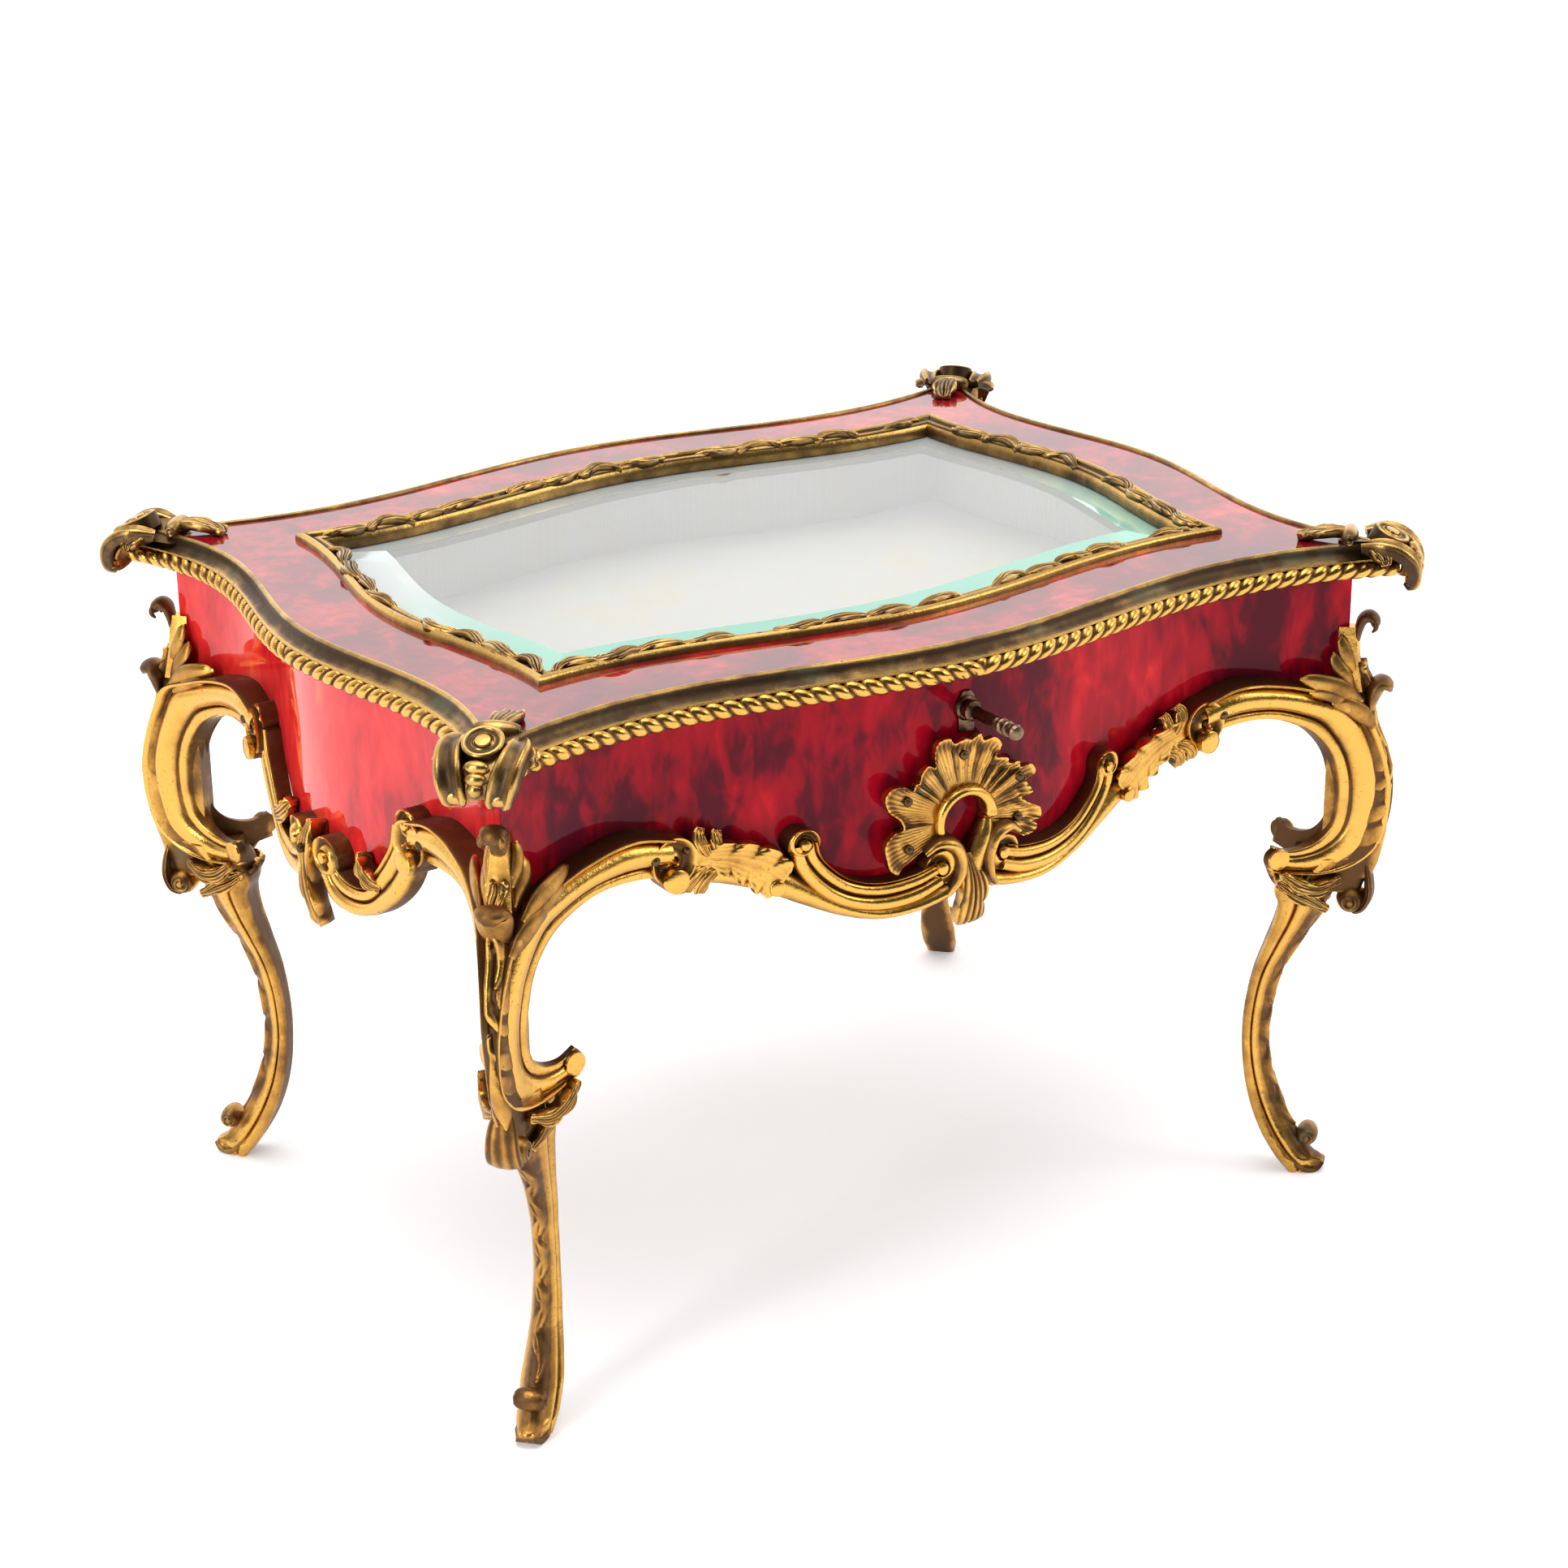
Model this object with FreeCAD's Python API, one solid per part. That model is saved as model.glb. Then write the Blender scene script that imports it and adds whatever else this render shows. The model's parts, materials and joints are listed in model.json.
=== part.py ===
import FreeCAD, Part
import math
import os

from FreeCAD import Vector

# Table-shaped jewellery display case: a shallow serpentine case on four cast cabriole legs,
# with a hinged lid that holds a bevelled glass. Millimetres, +Z up, +X to the right along the
# front, the front faces -Y. The origin lies on the floor under the middle of the part.

# Serpentine plan of the lid top, measured from its middle to the veneer's edge
lid_half_length = 132.4      # middle of a short side, where it bulges most
lid_half_depth = 97.6        # middle of a long side
long_bulge = 10.9            # how far the middle of a long side stands out from its waist
long_waist_at = 85.0         # place of that waist along the side
long_flare = 9.1             # how far the corner end swings out again
long_flare_run = 46.5        # length of that swing
short_bulge = 8.4
short_waist_at = 62.0
short_flare = 7.9
short_flare_run = 34.0
plan_points = 21             # points that carry one side's curve

# Heights
leg_height = 92.0            # foot to the knot under the scrolls
case_foot = 147.5            # lower edge of the walls at the corners
case_rim = 179.0             # upper edge of the walls
lid_gap = 0.2                # between rim and closed lid
lid_wood = 7.8               # thickness of the lid's rails
veneer = 0.8                 # tortoiseshell on the walls
lid_veneer = 1.0             # tortoiseshell on the lid
glue_gap = 0.05              # room between curved pieces that are glued together
overrun = 40.0               # cutters reach past what they cut by this

# Case
case_inset = 2.0             # the walls' outer face inside the lid's veneer edge
wall = 8.0
base_thickness = 6.0
lining = 1.0
lining_drop = 2.5            # the wall lining stops this far under the rim
pad_side_gap = 0.3
pad_height = 5.5
pad_draw_in = 1.6            # the cushion's sides are drawn in at the base
pad_crown_run = 34.0         # from the cushion's edge to its flat crown
# The cushion's side as shares of its draw-in and its height, and its shoulder of its crown run and height
pad_side_shares = ((0.25, 0.2), (0.0, 0.4), (0.5, 0.6), (2.0, 0.8))
pad_shoulder_shares = (0.33, 0.95)
apron_drop = 23.0            # the walls dip this far below case_foot in the middle

# Lower edge of the long and the short walls, as shares of the dip's half width and of its depth
long_dip_half = 76.0
short_dip_half = 46.0
dip_run_shares = (0.0, 0.28, 0.47, 0.66, 0.83, 1.0)
dip_depth_shares = (0.98, 1.0, 0.88, 0.54, 0.18, 0.0)

# Legs: two scroll wings that lie against the walls, a corner spine, and a slim lower leg
leg_proud = 8.0              # the wings stand out this far from the wall
wing_reach = 53.5            # along the wall from the case's corner
wing_foot = 96.0
wing_rise = 58.5             # from wing_foot to the top of the scroll's band
wing_inner_shares = ((0.86, 0.778), (0.664, 0.80), (0.486, 0.795), (0.336, 0.752), (0.219, 0.689),
                     (0.121, 0.581), (0.075, 0.444), (0.065, 0.308), (0.086, 0.197),
                     (0.159, 0.12), (0.271, 0.094), (0.36, 0.125))
wing_outer_shares = ((0.375, 0.0), (0.23, -0.03), (0.11, -0.04), (-0.03, 0.0), (-0.13, 0.1),
                     (-0.16, 0.21), (-0.166, 0.375), (-0.136, 0.53), (-0.073, 0.70),
                     (0.0, 0.83), (0.15, 0.89), (0.41, 0.965), (0.67, 1.0), (0.88, 0.955))
arm_scroll_shares = (0.925, 0.82)
arm_scroll_radius = 6.2
arm_button_shares = (0.885, 0.755)
arm_button_radius = 2.8
volute_shares = (0.366, 0.062)
volute_radius = 3.6
volute_button_radius = 2.7
wing_lap = 0.5               # the two wings overlap this far past the diagonal
button_proud = 1.2           # scroll buttons stand out from their scrolls

spine_reach = 12.6           # outward from the case's corner, along the diagonal
spine_foot = 88.0
spine_rise = 65.0
spine_half_width = 5.0
spine_shares = ((-0.08, 0.0), (0.5, 0.03), (0.77, 0.2), (0.94, 0.31), (1.0, 0.46), (0.84, 0.60),
                (0.6, 0.755), (0.62, 0.84), (0.91, 0.893), (1.0, 0.955), (0.75, 1.0),
                (0.28, 0.985), (-0.08, 0.95))
knot_at = 3.2
knot_height = 85.5
knot_radius = 4.9
knot_half_width = 5.5

leg_sweep = 23.2             # how far the lower leg swings in under the case
leg_outer_shares = ((0.25, 1.07), (0.02, 0.96), (-0.155, 0.87), (-0.41, 0.76), (-0.595, 0.663),
                    (-0.70, 0.522), (-0.707, 0.413), (-0.60, 0.293), (-0.41, 0.185),
                    (-0.215, 0.109), (-0.065, 0.06), (0.056, 0.039), (0.03, 0.013), (-0.045, 0.0))
leg_inner_shares = ((-0.366, 0.0), (-0.517, 0.049), (-0.733, 0.141), (-0.905, 0.26), (-0.99, 0.391),
                    (-1.0, 0.522), (-0.927, 0.652), (-0.797, 0.76), (-0.69, 0.848),
                    (-0.655, 0.913), (-0.70, 0.957), (-0.5, 1.07))
leg_half_width = 7.2         # half the lower leg's width at its top
leg_width_shares = ((1.07, 1.0), (0.97, 1.0), (0.86, 0.8), (0.72, 0.6), (0.56, 0.475), (0.42, 0.475),
                    (0.27, 0.56), (0.12, 0.77), (0.05, 0.74), (0.0, 0.6))
toe_knob_at = 3.4            # inward from the case's corner
toe_knob_height = 10.6
toe_knob_radius = 2.9
toe_knob_half_width = 4.6

# Corner chutes: a leaf on each upright corner of the case, with a curled knob on top
chute_top = 170.0
chute_foot = 147.6
chute_reach = 6.4
chute_half_width = 5.0
chute_shares = ((-1.0, 0.0), (1.0, 0.0), (0.75, 0.3), (0.45, 0.55), (0.5, 0.75), (-1.0, 0.9))
chute_knob_radius = 2.9
chute_knob_at = 3.5
chute_knob_half_width = 4.4

# Aprons and cartouches
apron_proud = 5.0
apron_foot = 119.5
apron_rise = 31.0
apron_half = 71.5
apron_lower_shares = ((0.05, 0.05), (0.2, 0.01), (0.35, 0.02), (0.52, 0.13), (0.67, 0.29), (0.81, 0.47),
                      (0.92, 0.58), (1.0, 0.54))
apron_upper_shares = ((1.0, 0.8), (0.965, 0.98), (0.9, 0.9), (0.81, 0.86), (0.73, 0.74), (0.68, 0.62),
                      (0.61, 0.56), (0.53, 0.44), (0.42, 0.37), (0.28, 0.39), (0.17, 0.46), (0.08, 0.42))
apron_knob_shares = (0.648, 0.765)
apron_knob_radius = 3.7
apron_volute_shares = (0.11, 0.32)
apron_volute_radius = 4.4

side_apron_proud = 5.0
side_apron_foot = 117.0
side_apron_rise = 36.0
side_apron_half = 40.0
side_lower_shares = ((0.0, 0.0), (0.15, 0.01), (0.33, 0.01), (0.53, 0.06), (0.75, 0.17), (0.9, 0.26),
                     (1.0, 0.4))
side_upper_shares = ((1.0, 0.62), (0.93, 0.58), (0.74, 0.425), (0.57, 0.38), (0.35, 0.51),
                     (0.2, 0.52), (0.0, 0.53))
side_knob_shares = (0.925, 0.9)
side_knob_radius = 3.5
side_stem_shares = ((0.86, 0.5), (1.0, 0.5), (1.0, 0.9), (0.86, 0.9))
pendant_half_width = 4.2
pendant_drop = 9.0           # below the side apron's foot

cartouche_proud = 6.0
cartouche_height = 141.5     # middle of its ring
cartouche_radius = 21.5
cartouche_tall_share = 1.07  # the fan is a little taller than wide
cartouche_lobes = 18
cartouche_lobe_share = 0.055
cartouche_low_angle = 24.0   # degrees by which the fan reaches below its ring's middle
cartouche_points = 79
ring_half_width = 3.6
ring_half_height = 4.6
cartouche_tail = 114.5
cartouche_tail_half_width = 5.0

# Lock in the front wall, turned by its key
key_height = 169.6
key_radius = 1.6
key_reach = 22.5             # the key stands out this far from the front wall
key_collar_radius = 2.7
key_collar_length = 2.4
key_ring_radius = 2.1
key_ring_length = 1.1
key_rings = 4
key_pivot_radius = 1.0
key_bit_radius = 3.2
key_bit_half_height = 0.8
key_bit_length = 1.5
key_clearance = 0.08
collar_radius = 3.4
collar_proud = 1.6
lock_set = 0.8               # the lock's plate stands in from the wall's inner face
lock_half_length = 15.0
lock_foot = 160.0
lock_depth = 5.2
lock_skin = 1.2
lock_plate_half_length = 19.0
lock_plate = 1.2
bolt_half_length = 5.0
bolt_thickness = 2.6
bolt_lift = 0.7              # underside of the bolt above the key's bit
bolt_sink = 0.4              # the drawn bolt's top lies this far under the rim
bolt_throw = 4.0
bolt_clearance = 0.2
bolt_tail_at = 2.3           # inner edge of the bolt's tail, beside the key
bolt_tail = 6.5
bolt_tail_thickness = 1.0
strike_half_length = 12.0
strike_half_width = 3.4
strike_plate = 1.2
strike_room = 1.0            # mortise above the height of the bolt's throw

# Hinges on the back rim
hinge_axis_y = 101.0
hinge_at = 24.0              # middle of each hinge from the middle of the case
hinge_half_length = 11.0
hinge_leaf = 1.2
leaf_gap = 0.05              # each leaf's face from the plane of the axis
hinge_leaf_run = 14.5        # from the axis inwards
knuckle_radius = 2.0
knuckle_clearance = 0.4
knuckle_side_gap = 0.15
hinge_pin_radius = 0.9
hinge_pin_clearance = 0.05
hinge_pin_head = 0.5
hinge_pin_head_radius = 1.5

# Screws and pins
screw_radius = 0.9
screw_head_radius = 1.7
screw_head = 0.7
screw_length = 5.0
screw_clearance = 0.05
screw_at = 12.5              # hinge screws inward from the hinge's axis
screw_step = 7.0
lock_screw_at = 17.0
strike_screw_at = 9.2
pin_radius = 0.6
pin_head_radius = 1.2
pin_head = 0.9
pin_sink = 0.35              # the heads sit this deep in the castings
pin_bite = 3.0               # the shanks reach this far into the wood
arm_pin_shares = (0.79, 0.87)
chute_pin_shares = (0.44, 0.5)
apron_pin_shares = ((0.86, 0.70), (0.35, 0.21))
cartouche_pin_shares = ((0.0, 0.78), (-0.77, 0.36), (0.77, 0.36), (-0.77, -0.22), (0.77, -0.22))
side_pin_height = 130.5
frame_pin_share = 0.45       # from the frame's outer towards its inner edge
frame_pin_run_share = 0.5    # along the side, of the place of its waist

# Lid
moulding_proud = 7.0         # the rope edge stands out this far from the veneer's edge
moulding_end = 11.5          # the mouldings end this far outside the case's corners
rope_radius = 2.5
rope_lift = 0.5              # underside of the rope above the lid's underside
fillet_width = 1.5           # top fillet of the edge moulding
fillet_lift = 0.4            # it stands this far above the veneer
cavetto_foot_share = 0.51    # outer foot of the hollow, as a share of moulding_proud
cavetto_mid_share = 0.31
rope_shoulder_share = 0.72   # sine and cosine of the rope's facets
rail_ledge_height = 3.3      # lower part of the rails, on which the glass lies
rail_ledge = 28.5            # inner edge of that ledge, from the veneer's edge
rail_inner = 25.2            # inner edge of the upper part
glass_thickness = 4.5
glass_edge_thickness = 2.2
glass_play = 0.25
glass_bevel = 13.0
frame_outer = 20.5
frame_inner = 26.6
frame_rise = 2.2
frame_bead = 1.2             # the frame's outer bead is rounded over this width
frame_hollow = 2.2           # the inner side of the frame slopes over this width
frame_lip_gap = 0.1

mount_tail = 13.5            # inward from the case's corner, along the diagonal
mount_reach = 17.5
mount_crown = 5.2            # above the lid's veneer
mount_droop = 2.2            # below the case's rim
mount_half_width = 9.5
mount_shares = ((-1.0, 0.0), (-0.98, 0.35), (-0.72, 0.62), (-0.5, 0.93), (-0.2, 1.0), (0.2, 0.96),
                (0.62, 0.72))
mount_beak_shares = ((0.9, 0.9), (1.0, 0.62), (0.97, 0.3), (0.86, 0.0), (0.74, 0.02), (0.72, 0.4))
mount_plan_shares = ((-1.0, 0.26), (-0.8, 0.36), (-0.45, 0.42), (0.1, 0.7), (0.45, 1.0), (0.72, 0.78),
                     (0.92, 0.46), (1.0, 0.2))

UP = Vector(0, 0, 1)
RIGHT = Vector(1, 0, 0)
BACK = Vector(0, 1, 0)
ORIGIN = Vector(0, 0, 0)
DIAGONAL = Vector(1, 1, 0).normalize()
ACROSS = Vector(-1, 1, 0).normalize()

lid_floor = case_rim + lid_gap
lid_top = lid_floor + lid_wood + lid_veneer
hinge_axis_z = case_rim + lid_gap / 2
base_top = case_foot + base_thickness
wall_outer = case_inset + veneer
wall_inner = wall_outer + wall
lining_inner = wall_inner + glue_gap + lining
front_face = lid_half_depth - case_inset
wall_inner_face = lid_half_depth - wall_inner
long_waist = lid_half_depth - long_bulge - case_inset
short_waist = lid_half_length - short_bulge - case_inset
lock_face = wall_inner_face - lock_set
bolt_foot = key_height + key_bit_radius + bolt_lift


def serpentine(along, middle, bulge, waist_at, flare, flare_run):
    """Distance of one side's curve from the middle of the plan."""
    run = abs(along)
    waist = middle - bulge
    if run <= waist_at:
        return waist + bulge * (1 + math.cos(math.pi * run / waist_at)) / 2
    return waist + flare * ((run - waist_at) / flare_run) ** 2


def half_depth(x):
    return serpentine(x, lid_half_depth, long_bulge, long_waist_at, long_flare, long_flare_run)


def half_length(y):
    return serpentine(y, lid_half_length, short_bulge, short_waist_at, short_flare, short_flare_run)


def corner(inset):
    """Corner of the plan drawn in by inset, where a long and a short side's curves meet."""
    x, y = lid_half_length - inset, lid_half_depth - inset
    for _ in range(60):
        x, y = half_length(y) - inset, half_depth(x) - inset
    return x, y


def spread(end):
    """Places along one side, from its one end to the other."""
    return [end * (2 * i / (plan_points - 1) - 1) for i in range(plan_points)]


def curve(points):
    """Smooth edge through the points."""
    spline = Part.BSplineCurve()
    spline.interpolate(points)
    return spline.toShape()


def outline(inset, z):
    """The closed serpentine plan, drawn in by inset, at height z."""
    x_end, y_end = corner(inset)
    front = [Vector(x, inset - half_depth(x), z) for x in spread(x_end)]
    right = [Vector(half_length(y) - inset, y, z) for y in spread(y_end)]
    back = [Vector(-p.x, -p.y, z) for p in front]
    left = [Vector(-p.x, -p.y, z) for p in right]
    return Part.Wire([curve(side) for side in (front, right, back, left)])


def slab(inset, foot, top):
    """Solid of the plan, drawn in by inset, between two heights."""
    return Part.Face(outline(inset, foot)).extrude(UP * (top - foot))


def band(outer, inner, foot, top):
    """Closed ring between two insets."""
    return slab(outer, foot, top).cut(slab(inner, foot - overrun, top + overrun))


def stack(sections):
    """Solid through plans given as pairs of inset and height, from the lowest up."""
    return Part.makeLoft([outline(inset, z) for inset, z in sections], True, True)


def box(x0, x1, y0, y1, z0, z1):
    return Part.makeBox(x1 - x0, y1 - y0, z1 - z0, Vector(x0, y0, z0))


def quarter(x_sign, y_sign, shape):
    """The back right quarter's shape, moved to another quarter."""
    if x_sign < 0:
        shape = shape.mirror(ORIGIN, RIGHT)
    if y_sign < 0:
        shape = shape.mirror(ORIGIN, BACK)
    return shape


def mitre_wedge(side, outer, inner):
    """Column over one side of the plan, bounded by the mitre lines at its two corners."""
    far = Vector(*corner(outer), 0)
    near = Vector(*corner(inner), 0)
    way = (far - near).normalize()
    far = far + way * overrun
    near = near - way * overrun
    if side in ("front", "back"):
        ring = [(-far.x, far.y), (far.x, far.y), (near.x, near.y), (-near.x, near.y)]
        flip = -1 if side == "front" else 1
        ring = [(x, y * flip) for x, y in ring]
    else:
        ring = [(far.x, -far.y), (far.x, far.y), (near.x, near.y), (near.x, -near.y)]
        flip = -1 if side == "left" else 1
        ring = [(x * flip, y) for x, y in ring]
    points = [Vector(x, y, 0) for x, y in ring]
    return Part.Face(Part.makePolygon(points + points[:1])).extrude(UP * (lid_top + overrun))


def closed_face(edges):
    return Part.Face(Part.Wire(Part.__sortEdges__(edges)))


def round_bar(radius, start, way, length):
    return Part.makeCylinder(radius, length, start, way)


def solid_of(shape):
    """The largest solid of a boolean result."""
    return max(shape.Solids, key=lambda solid: solid.Volume)


SIDES = ("front", "back", "left", "right")
QUARTERS = {"front_left": (-1, -1), "front_right": (1, -1), "back_left": (-1, 1), "back_right": (1, 1)}
parts = {}


# Case: walls, tortoiseshell, base and linings
def dip_column(half, way):
    """What the walls leave open below their curved lower edge, along one pair of walls."""
    cross = BACK if way == RIGHT else RIGHT
    reach = lid_half_length + overrun
    points = []
    for run, depth in zip(dip_run_shares, dip_depth_shares):
        points.append((half * run, case_foot - apron_drop * depth))
    edge = [(-x, z) for x, z in reversed(points[1:])] + points
    start = [way * x + UP * z - cross * reach for x, z in edge]
    low = case_foot - apron_drop - overrun
    left_low = start[0] + UP * (low - start[0].z)
    right_low = start[-1] + UP * (low - start[-1].z)
    edges = [curve(start), Part.makeLine(start[-1], right_low), Part.makeLine(right_low, left_low),
             Part.makeLine(left_low, start[0])]
    dip = Part.Face(Part.Wire(edges)).extrude(cross * (2 * reach))
    for sign in (-1, 1):
        near = way * (sign * half) - cross * reach + UP * low
        block = Part.Face(Part.makePolygon([
            near, near + way * (sign * reach), near + way * (sign * reach) + UP * (case_foot - low),
            near + UP * (case_foot - low), near])).extrude(cross * (2 * reach))
        dip = dip.fuse(block)
    return dip


def build_case():
    low = case_foot - apron_drop
    dips = {"front": dip_column(long_dip_half, RIGHT), "left": dip_column(short_dip_half, BACK)}
    dips["back"] = dips["front"]
    dips["right"] = dips["left"]
    walls = band(wall_outer + glue_gap, wall_inner, low, case_rim)
    skins = band(case_inset, wall_outer, low, case_rim)
    wall_linings = band(wall_inner + glue_gap, lining_inner, base_top, case_rim - lining_drop)
    lining_strips = []
    for side in SIDES:
        wedge = mitre_wedge(side, case_inset, lining_inner)
        parts["wall_" + side] = solid_of(walls.common(wedge).cut(dips[side]))
        parts["veneer_" + side] = solid_of(skins.common(wedge).cut(dips[side]))
        lining_strips.append(solid_of(wall_linings.common(wedge)))
    parts["wall_linings"] = Part.Compound(lining_strips)
    parts["base_board"] = slab(wall_inner + glue_gap, case_foot, base_top)
    edge = lining_inner + pad_side_gap
    sections = [(edge + pad_draw_in, base_top + glue_gap)]
    for draw, rise in pad_side_shares:
        sections.append((edge + pad_draw_in * draw, base_top + pad_height * rise))
    run, rise = pad_shoulder_shares
    sections.append((edge + pad_crown_run * run, base_top + pad_height * rise))
    sections.append((edge + pad_crown_run, base_top + pad_height))
    parts["lining_pad"] = stack(sections)


# Legs, chutes, aprons and cartouches
def wing_point(share, plane):
    """Point on a wing of the back right leg, from its place along the wall and its height."""
    x_corner, y_corner = corner(case_inset)
    along = wing_reach * share[0]
    z = wing_foot + wing_rise * share[1]
    if plane == "back":
        return Vector(x_corner - along, long_waist, z)
    return Vector(short_waist, y_corner - along, z)


def wing(plane):
    """One C-scroll of the back right leg, as a bar across the wall that it lies on."""
    cross = BACK if plane == "back" else RIGHT
    depth = long_bulge + leg_proud + overrun
    inner = [wing_point(share, plane) for share in wing_inner_shares]
    outer = [wing_point(share, plane) for share in wing_outer_shares]
    face = Part.Face(Part.Wire([curve(inner), Part.makeLine(inner[-1], outer[0]), curve(outer),
                                Part.makeLine(outer[-1], inner[0])]))
    solid = face.extrude(cross * depth)
    for share, radius in ((arm_scroll_shares, arm_scroll_radius), (volute_shares, volute_radius)):
        solid = solid.fuse(round_bar(radius, wing_point(share, plane), cross, depth))
    return solid


def wing_button(share, radius, plane):
    """Round button on a scroll: it stands out past the wing's face."""
    cross = BACK if plane == "back" else RIGHT
    start = wing_point(share, plane)
    if plane == "back":
        face = half_depth(start.x) - case_inset - long_waist
    else:
        face = half_length(start.y) - case_inset - short_waist
    return round_bar(radius, start + cross * (face + button_proud), cross, leg_proud)


def diagonal_point(outward, z):
    """Point on the diagonal plane through the case's back right corner."""
    x, y = corner(case_inset)
    return Vector(x, y, z) + DIAGONAL * outward


def diagonal_solid(points, half_width):
    """Bar across the diagonal plane with the given closed outline of outward and height pairs."""
    shift = ACROSS * -half_width
    ring = [diagonal_point(outward, z) + shift for outward, z in points]
    face = Part.Face(Part.Wire([curve(ring), Part.makeLine(ring[-1], ring[0])]))
    return face.extrude(ACROSS * (2 * half_width))


def diagonal_bar(outward, z, radius, half_width):
    """Round bar across the diagonal plane."""
    return round_bar(radius, diagonal_point(outward, z) - ACROSS * half_width, ACROSS, 2 * half_width)


def mitre_block(way):
    """All that lies on one side of the diagonal plane at the back right corner, with a small lap."""
    middle = diagonal_point(0, 0) - way * wing_lap
    near = middle - DIAGONAL * lid_half_length
    far = middle + DIAGONAL * lid_half_length
    points = [near, far, far + way * lid_half_length, near + way * lid_half_length]
    return Part.Face(Part.makePolygon(points + points[:1])).extrude(UP * lid_top)


def lower_leg():
    """Slim S-shaped leg: its side profile and its width together."""
    outer = [diagonal_point(leg_sweep * a, leg_height * b) for a, b in leg_outer_shares]
    inner = [diagonal_point(leg_sweep * a, leg_height * b) for a, b in leg_inner_shares]
    shift = ACROSS * -leg_half_width
    face = closed_face([edge.translated(shift) for edge in (
        curve(outer), Part.makeLine(outer[-1], inner[0]), curve(inner), Part.makeLine(inner[-1], outer[0]))])
    profile = face.extrude(ACROSS * (2 * leg_half_width))
    start = diagonal_point(-leg_sweep - overrun, 0)
    right = [start + ACROSS * (leg_half_width * w) + UP * (leg_height * b) for b, w in leg_width_shares]
    left = [start - ACROSS * (leg_half_width * w) + UP * (leg_height * b) for b, w in leg_width_shares]
    front = closed_face([curve(right), Part.makeLine(right[-1], left[-1]), curve(left),
                         Part.makeLine(left[0], right[0])])
    return profile.common(front.extrude(DIAGONAL * (leg_sweep + 2 * overrun)))


def build_leg():
    """The back right leg."""
    cover = slab(case_inset - leg_proud, wing_foot - overrun, case_rim)
    hollow = slab(case_inset, 0, case_rim)
    back_wing = wing("back").common(mitre_block(ACROSS))
    side_wing = wing("side").common(mitre_block(-ACROSS))
    leg = back_wing.fuse(side_wing).common(cover).cut(hollow)
    for plane in ("back", "side"):
        leg = leg.fuse(wing_button(arm_button_shares, arm_button_radius, plane))
        leg = leg.fuse(wing_button(volute_shares, volute_button_radius, plane))
    spine = diagonal_solid([(spine_reach * a, spine_foot + spine_rise * b) for a, b in spine_shares],
                           spine_half_width)
    leg = leg.fuse(spine.cut(slab(case_inset, case_foot, case_rim)))
    leg = leg.fuse(diagonal_bar(knot_at, knot_height, knot_radius, knot_half_width))
    leg = leg.fuse(lower_leg())
    leg = leg.fuse(diagonal_bar(-toe_knob_at, toe_knob_height, toe_knob_radius, toe_knob_half_width))
    return solid_of(leg.removeSplitter())


def wall_cover(proud):
    """Space just outside the walls, up to proud from their outer face."""
    low = apron_foot - overrun
    return slab(case_inset - proud, low, case_rim).cut(slab(case_inset, low - overrun, case_rim + overrun))


def build_chute(leg):
    """The back right corner's chute, seated on the case's corner and on the leg's knee."""
    rise = chute_top - chute_foot
    points = [(chute_reach * a, chute_foot + rise * b) for a, b in chute_shares]
    leaf = diagonal_solid(points, chute_half_width)
    knob_height = chute_top - chute_knob_radius
    knob = diagonal_bar(chute_knob_at, knob_height, chute_knob_radius, chute_knob_half_width)
    chute = leaf.fuse(knob).cut(slab(case_inset, wing_foot, case_rim + overrun))
    return solid_of(chute.cut(leg))


def upright(points, start, cross, depth):
    """Bar across a wall with a closed outline, from pairs of distance along the wall and height."""
    way = RIGHT if cross == BACK else BACK
    edges = []
    runs = [[cross * start + way * a + UP * z for a, z in run] for run in points]
    for run, after in zip(runs, runs[1:] + runs[:1]):
        edges.append(curve(run))
        if run[-1].distanceToPoint(after[0]) > glue_gap:
            edges.append(Part.makeLine(run[-1], after[0]))
    return Part.Face(Part.Wire(edges)).extrude(cross * depth)


def build_apron(leg):
    """The back right half of the long aprons."""
    depth = long_bulge + apron_proud + overrun

    def at(share):
        return apron_half * share[0], apron_foot + apron_rise * share[1]

    solid = upright([[at(p) for p in apron_lower_shares], [at(p) for p in apron_upper_shares]],
                    long_waist, BACK, depth)
    rounds = ((apron_knob_shares, apron_knob_radius), (apron_volute_shares, apron_volute_radius))
    for share, radius in rounds:
        x, z = at(share)
        solid = solid.fuse(round_bar(radius, Vector(x, long_waist, z), BACK, depth))
    return solid_of(solid.common(wall_cover(apron_proud)).cut(leg))


def build_side_apron(legs):
    """The right apron, in one piece between the two right legs."""
    depth = short_bulge + side_apron_proud + overrun

    def at(share):
        return side_apron_half * share[0], side_apron_foot + side_apron_rise * share[1]

    half = upright([[at(p) for p in side_lower_shares], [at(p) for p in side_upper_shares]],
                   short_waist, RIGHT, depth)
    y, z = at(side_knob_shares)
    half = half.fuse(round_bar(side_knob_radius, Vector(short_waist, y, z), RIGHT, depth))
    ring = [Vector(short_waist, *at(p)) for p in side_stem_shares]
    half = half.fuse(Part.Face(Part.makePolygon(ring + ring[:1])).extrude(RIGHT * depth))
    whole = half.fuse(half.mirror(ORIGIN, BACK))
    tip = side_apron_foot - pendant_drop
    shoulder = side_apron_foot + pendant_half_width
    pendant = upright([[(-pendant_half_width, shoulder), (-pendant_half_width, side_apron_foot),
                        (0, tip), (pendant_half_width, side_apron_foot), (pendant_half_width, shoulder)]],
                      short_waist, RIGHT, depth)
    whole = whole.fuse(pendant).common(wall_cover(side_apron_proud))
    for leg in legs:
        whole = whole.cut(leg)
    return solid_of(whole)


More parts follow.
